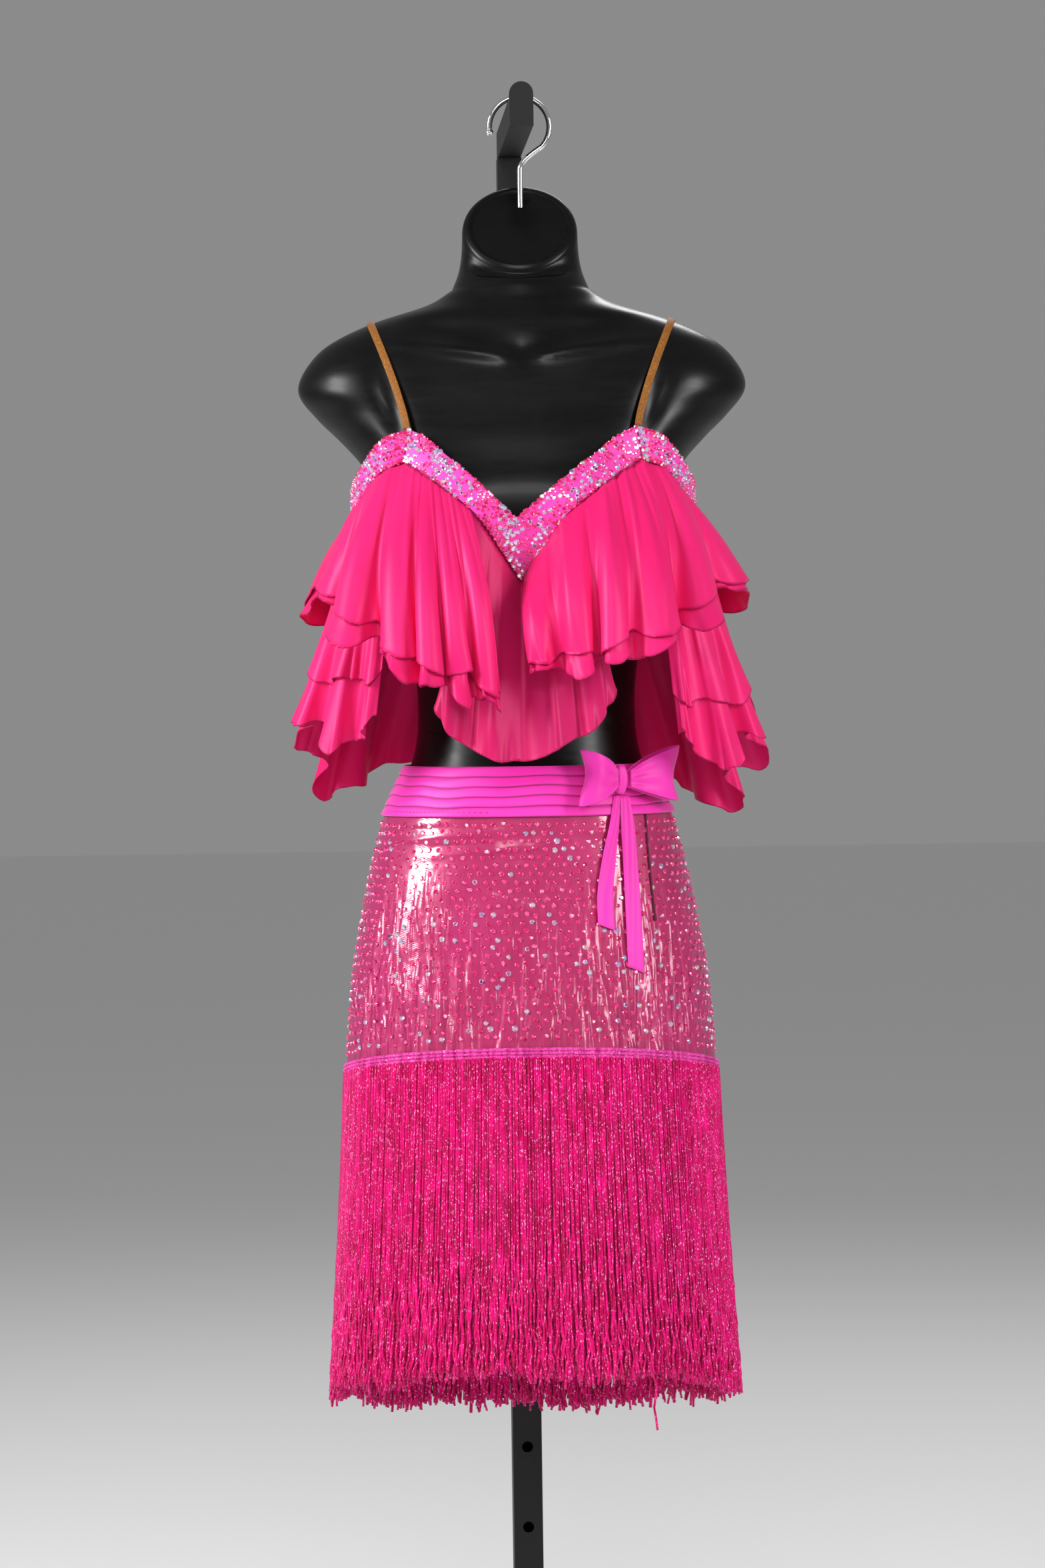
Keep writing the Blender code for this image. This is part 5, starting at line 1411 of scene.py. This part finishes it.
def strand_mesh(name, lines, radii, finish):
    """Thin four-sided cords along many lines, as one mesh."""
    count, steps = lines.shape[:2]
    along = unit(np.gradient(lines, axis=1))
    side = unit(np.cross(along, np.array([0.31, 0.95, 0.0])))
    turns = np.arange(STRAND_SIDES) * 2 * math.pi / STRAND_SIDES
    thick = radii[:, None] * np.linspace(0.95, 1.25, steps)
    points = lines[:, :, None] + rims(turns, side, np.cross(along, side)) * thick[..., None, None]
    index = grid_index(count, steps, STRAND_SIDES)
    faces = np.concatenate([quads(index, inward=True), index[:, -1, :-1]])
    made = mesh_object(name, points.reshape(-1, 3), faces, finish)
    v = measured(lines, 1)[..., None] / (4 * MM) + np.zeros(STRAND_SIDES)
    u = np.arange(STRAND_SIDES) * 0.25 + np.arange(count)[:, None, None] * 0.37 + 0 * v
    add_map(made.data, np.stack([u, v], axis=-1).reshape(-1, 2))
    return made


def fringe():
    """The header and 1,600 strands, in one mesh for the front and one for the back."""
    chance = np.random.default_rng(SEED)
    finish = cord_finish("fringe_cord", srgb(180, 2, 70), srgb(248, 18, 134), 1.0)
    header()
    halves = {"front": [], "back": []}
    for count, grow, flare, shorter, radius in rows_of(FRINGE_LAYERS):
        angles, lines = strand_paths(chance, int(count), grow, flare, shorter)
        front = np.cos(angles) > 0
        for half, chosen in (("front", front), ("back", ~front)):
            halves[half].append((lines[chosen], np.full(chosen.sum(), radius)))
    for half, layers in halves.items():
        lines, radii = (np.concatenate(parts) for parts in zip(*layers))
        made = strand_mesh(f"fringe_strands_{half}", lines, radii, finish)
        finish_piece(made, "fringe", *(["fringe"] if half == "front" else []))


def cord_finish(name, low, high, turns):
    """A twisted cord of dull thread with specks of bright metal."""
    made = Finish(name, Roughness=0.5, Sheen_Weight=0.05, Specular_IOR_Level=0.3,
                  Specular_Tint=srgb(255, 130, 190))
    body = made.ramp(made.noise(240, 240, 40), (0.32, low), (0.68, high))
    fleck = made.noise(1100, 1100, 420, Detail=0.0)
    bright, metallic, roughness = (made.between(fleck, 0.67, 0.72, dull, shiny)
                                   for dull, shiny in ((0.0, 1.0), (0.0, 0.6), (0.5, 0.22)))
    made.set("Base Color", made.mix(bright, body.outputs[0], srgb(255, 156, 216)))
    made.set("Metallic", metallic)
    made.set("Roughness", roughness)
    made.bumped(made.bands("UV", "DIAGONAL", turns, Distortion=0.6), 0.6, 0.0004)
    return made.material


# Stones

STONE_SIDES = 8
ROW_STEP = 0.866


def stones(name, centres, facing, radii, kinds, chance, finish):
    """Flat-backed cut stones as one mesh: a table and two rows of facets."""
    count = len(centres)
    helper = np.where(np.abs(facing[:, 2:]) < 0.9, [[0, 0, 1.0]], [[1.0, 0, 0]])
    side = unit(np.cross(helper, facing))
    spin = chance.uniform(0, 2 * math.pi, count)[:, None]
    step = 2 * math.pi / STONE_SIDES
    rings = []
    for offset, wide, high in ((0.0, 1.0, 0.0), (step / 2, 0.58, 0.52)):
        rim = rims(spin + np.arange(STONE_SIDES) * step + offset, side, np.cross(facing, side))
        rings.append(centres[:, None] + rim * (radii * wide)[:, None, None]
                     + facing[:, None] * (radii * high)[:, None, None])
    first = (np.arange(count) * 2 * STONE_SIDES)[:, None]
    corner = np.arange(STONE_SIDES)
    following = (corner + 1) % STONE_SIDES
    top = STONE_SIDES + corner
    lower = np.stack([first + corner, first + following, first + top], axis=-1).reshape(-1, 3)
    upper = np.stack([first + following, first + STONE_SIDES + following, first + top],
                     axis=-1).reshape(-1, 3)
    made = mesh_object(name, np.stack(rings, axis=1).reshape(-1, 3), [*lower, *upper, *(first + top)],
                       finish, smooth_shading=False)
    owner = np.concatenate([np.repeat(np.arange(count), STONE_SIDES)] * 2 + [np.arange(count)])
    add_value(made.data, "kind", kinds[owner], "FACE")
    # A random number for each facet that picks its colour; the palest and darkest colours it picks are
    # painted highlights and painted shade.
    add_value(made.data, "tone_and_painted_light", chance.uniform(0, 1, len(owner)), "FACE")
    return made


def stone_kinds(chance, share, count, clear, pink):
    """Which stones are clear, and every stone's radius, from a mean and a spread for each kind."""
    kinds = (chance.uniform(0, 1, count) < share).astype(float)
    return kinds, np.where(kinds > 0, *(chance.normal(*radius, count) for radius in (clear, pink)))


def stone_finish():
    """Pink stones and clear ones whose facets are each coloured at random: the near-white and darkest
    facet colours are painted highlights and painted shade, and the clear stones' pale colours are partly
    their coating and partly painted reflection.
    """
    made = Finish("cut_stone", Roughness=0.07, Specular_IOR_Level=0.8,
                  Coat_Weight=0.6, Coat_Roughness=0.02)
    tone_and_painted_light, kind = made.value("tone_and_painted_light"), made.value("kind")
    made.set("Metallic", made.between(kind, 0.0, 1.0, 0.22, 0.6))
    # Mid pinks are the stones' own colour; the top stops are painted highlights and the lowest stops
    # painted shade. The clear stones' pale colours are partly coating, partly painted reflection.
    pink = made.ramp(tone_and_painted_light, (0.0, srgb(176, 10, 70)), (0.35, srgb(226, 30, 112)),
                     (0.75, srgb(246, 58, 140)), (0.93, srgb(255, 124, 186)), (1.0, srgb(255, 232, 244)))
    clear = made.ramp(tone_and_painted_light, (0.0, srgb(120, 40, 110)), (0.16, srgb(206, 120, 190)),
                      (0.32, srgb(178, 200, 240)), (0.5, srgb(244, 240, 250)),
                      (0.66, srgb(250, 226, 180)), (0.8, srgb(226, 180, 255)), (1.0, srgb(255, 255, 255)))
    made.set("Base Color", made.mix(kind, pink.outputs[0], clear.outputs[0]))
    return made.material


def scattered(chance, width, height, pitch, jitter):
    """Places in staggered rows over a rectangle, each a little off its row."""
    places = []
    for row, down in enumerate(np.arange(pitch / 2, height, pitch * ROW_STEP)):
        for along in np.arange(pitch / 2 + (row % 2) * pitch / 2, width, pitch):
            places.append((along + chance.normal(0, jitter), down + chance.normal(0, jitter)))
    return np.array(places)


def on_grid(grid, u, v):
    """Points and normals of a grid at places from 0 to 1 along its columns and rows."""
    rows, columns = grid.shape[:2]
    x, y = np.clip(u, 0, 1) * (columns - 1.001), np.clip(v, 0, 1) * (rows - 1.001)
    column, row = x.astype(int), y.astype(int)
    across, down = (x - column)[:, None], (y - row)[:, None]
    points, facing = (
        (values[row, column] * (1 - across) + values[row, column + 1] * across) * (1 - down)
        + (values[row + 1, column] * (1 - across) + values[row + 1, column + 1] * across) * down
        for values in (grid, normals(grid)))
    return points, unit(facing)


BAND_PITCH, BAND_JITTER, BAND_MARGIN = 4.7 * MM, 0.55 * MM, 1.2 * MM
CLUSTER_LENGTH = 9 * MM


def band_stones(grids, finish):
    """Stones set close together, over the whole of each band."""
    chance = np.random.default_rng(SEED + 1)
    for name, grid in grids.items():
        width = measured(grid, 1)[len(grid) // 2, -1]
        down = measured(grid, 0)[-1]
        tall = down.max()
        places = scattered(chance, width, tall, BAND_PITCH, BAND_JITTER)
        u, v = places[:, 0] / width, places[:, 1] / tall
        local = np.interp(u, np.linspace(0, 1, len(down)), down)
        margin = BAND_MARGIN / local
        keep = (v > margin) & (v < 1 - margin) & (u > 0.003) & (u < 0.997)
        keep &= chance.uniform(0, 1, len(u)) < local / tall * 1.02
        u, v = u[keep], v[keep]
        if name == "band_front":
            u = np.concatenate([u, [0.0] * 6, [1.0] * 6])
            v = np.concatenate([v, np.linspace(0.06, 0.94, 6), np.linspace(0.06, 0.94, 6)])
        points, facing = on_grid(grid, u, v)
        cluster = 0.5 + 0.5 * np.sin(u * width / CLUSTER_LENGTH + 2 * np.sin(u * 11))
        kinds, radii = stone_kinds(chance, 0.80 * cluster * bump(v, 0.5, 0.38), len(u),
                                   (2.30 * MM, 0.30 * MM), (1.70 * MM, 0.30 * MM))
        radii = np.clip(radii, 1.1 * MM, 2.7 * MM)
        made = stones(f"{name}_stones", points + facing * 1.05 * MM, facing, radii, kinds, chance,
                      finish)
        finish_piece(made, "band")


SKIRT_ROUND, SKIRT_TALL = 0.96, 0.245
SKIRT_PITCH, SKIRT_JITTER = 10.3 * MM, 1.0 * MM
CLEAR_SHARE = 0.11


def skirt_stones(finish):
    """Pink stones in staggered rows down the skirt, with larger clear ones among them."""
    chance = np.random.default_rng(SEED + 2)
    places = scattered(chance, SKIRT_ROUND, SKIRT_TALL, SKIRT_PITCH, SKIRT_JITTER)
    fine = np.linspace(math.pi, 3 * math.pi, 1201)
    steps = np.linalg.norm(np.diff(skirt_point(fine, 0.83), axis=0), axis=1)
    angles = np.interp(places[:, 0], np.concatenate([[0], np.cumsum(steps)]), fine)
    top = SASH_BOTTOM - dip(angles) - 3 * MM
    low = header_top(angles) + 2.5 * MM
    heights = top + (low - top) * places[:, 1] / SKIRT_TALL
    for half, sign in (("front", 1), ("back", -1)):
        keep = (np.cos(angles) * sign > 0.02) & (places[:, 1] < SKIRT_TALL)
        angle, z = angles[keep], heights[keep]
        turn = (angle + math.pi) % (2 * math.pi) - math.pi
        relief = skirt_relief(turn if sign > 0 else angle % (2 * math.pi), z)
        aside = skirt_point(angle + 0.004, z, relief) - skirt_point(angle - 0.004, z, relief)
        down = skirt_point(angle, z - 0.002, relief) - skirt_point(angle, z + 0.002, relief)
        facing = unit(np.cross(down, aside))
        centres = skirt_point(angle, z, relief) + facing * 0.05 * MM
        kinds, radii = stone_kinds(chance, CLEAR_SHARE, len(z), (2.55 * MM, 0.2 * MM),
                                   (2.35 * MM, 0.18 * MM))
        made = stones(f"skirt_stones_{half}", centres, facing, radii, kinds, chance, finish)
        finish_piece(made, "foil")


# Floor, light and camera

CAMERA_PLACE = (-0.0045, -4.0, 0.97)
CAMERA_LENS = 98.8
CAMERA_ROLL = math.radians(-0.8)


def softbox(name, place, aim, size, energy):
    """A rectangular lamp that looks at a place."""
    lamp = bpy.data.lights.new(name, "AREA")
    lamp.shape = "RECTANGLE"
    lamp.size, lamp.size_y = size
    lamp.energy = energy
    made = bpy.data.objects.new(name, lamp)
    bpy.context.scene.collection.objects.link(made)
    made.location = place
    made.rotation_euler = (Vector(aim) - Vector(place)).to_track_quat("-Z", "Y").to_euler()


FLOOR_HALF = 60
WORLD_COLOUR, WORLD_STRENGTH = (0.72, 0.72, 0.73, 1), 0.36


def studio():
    """Pale floor, soft lamps and the photograph's camera."""
    scene = bpy.context.scene
    scene.view_settings.view_transform = "Standard"
    corners = [(x * FLOOR_HALF, y * FLOOR_HALF, 0) for x, y in ((-1, -1), (1, -1), (1, 1), (-1, 1))]
    floor = mesh_object("floor", corners, [(0, 1, 2, 3)], plain("pale_floor", (0.92, 0.92, 0.92, 1), 0.9))
    scene.world = bpy.data.worlds.new("studio")
    scene.world.use_nodes = True
    background = scene.world.node_tree.nodes["Background"]
    background.inputs[0].default_value = WORLD_COLOUR
    background.inputs[1].default_value = WORLD_STRENGTH
    softbox("key_softbox", (-2.68, -1.25, 2.2), (0, 0, 1.05), (0.95, 1.5), 100)
    softbox("fill_softbox", (2.4, -1.9, 1.9), (0, 0, 1.05), (0.7, 1.5), 52)
    softbox("front_softbox", (-0.2, -3.8, 2.9), (0, 0, 0.9), (1.2, 0.8), 32)
    softbox("back_softbox", (0.5, 3.0, 3.6), (0, 0, 1.0), (1.6, 1.0), 34)
    camera = bpy.data.cameras.new("camera")
    camera.lens = CAMERA_LENS
    made = bpy.data.objects.new("camera", camera)
    scene.collection.objects.link(made)
    made.matrix_world = (Matrix.Translation(CAMERA_PLACE) @ Matrix.Rotation(math.radians(90), 4, "X")
                         @ Matrix.Rotation(CAMERA_ROLL, 4, "Z"))
    scene.camera = made


def powder_coat():
    made = Finish("powder_coat", Base_Color=(0.008, 0.008, 0.009, 1), Roughness=0.52,
                  Specular_IOR_Level=0.3)
    made.bumped(made.noise(800, 800, 800), 0.15, 0.0003)
    return made.material


def stand():
    """The stand keeps the part's own solids, with a finish on them."""
    finish = powder_coat()
    for name in ("stand_base", "stand_lower_tube", "stand_upper_bar", "stand_arm", "stand_end_stop"):
        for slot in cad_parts[name].material_slots:
            slot.material = finish


def main():
    studio()
    stand()
    hook()
    form()
    bodice()
    stone = stone_finish()
    grids = bands()
    band_stones(grids, stone)
    strap("strap_left", -1)
    strap("strap_right", 1)
    cloth = satin()
    flounces(cloth)
    # The panel's satin is a darker copy (0.86 of the colour): painted shade for where the flounces shade
    # it.
    front_panel(satin("satin_in_shade", 0.86))
    skirt()
    skirt_stones(stone)
    placket()
    ribbon = sash()
    sash_stitches(plain("stitch_thread", srgb(170, 10, 110), 0.6))
    bow_knot(ribbon)
    bow_loop("bow_loop_left", -1, 0.036, 0.000, ribbon)
    bow_loop("bow_loop_right", 1, 0.054, 0.004, ribbon)
    bow_tails(ribbon)
    fringe()


main()
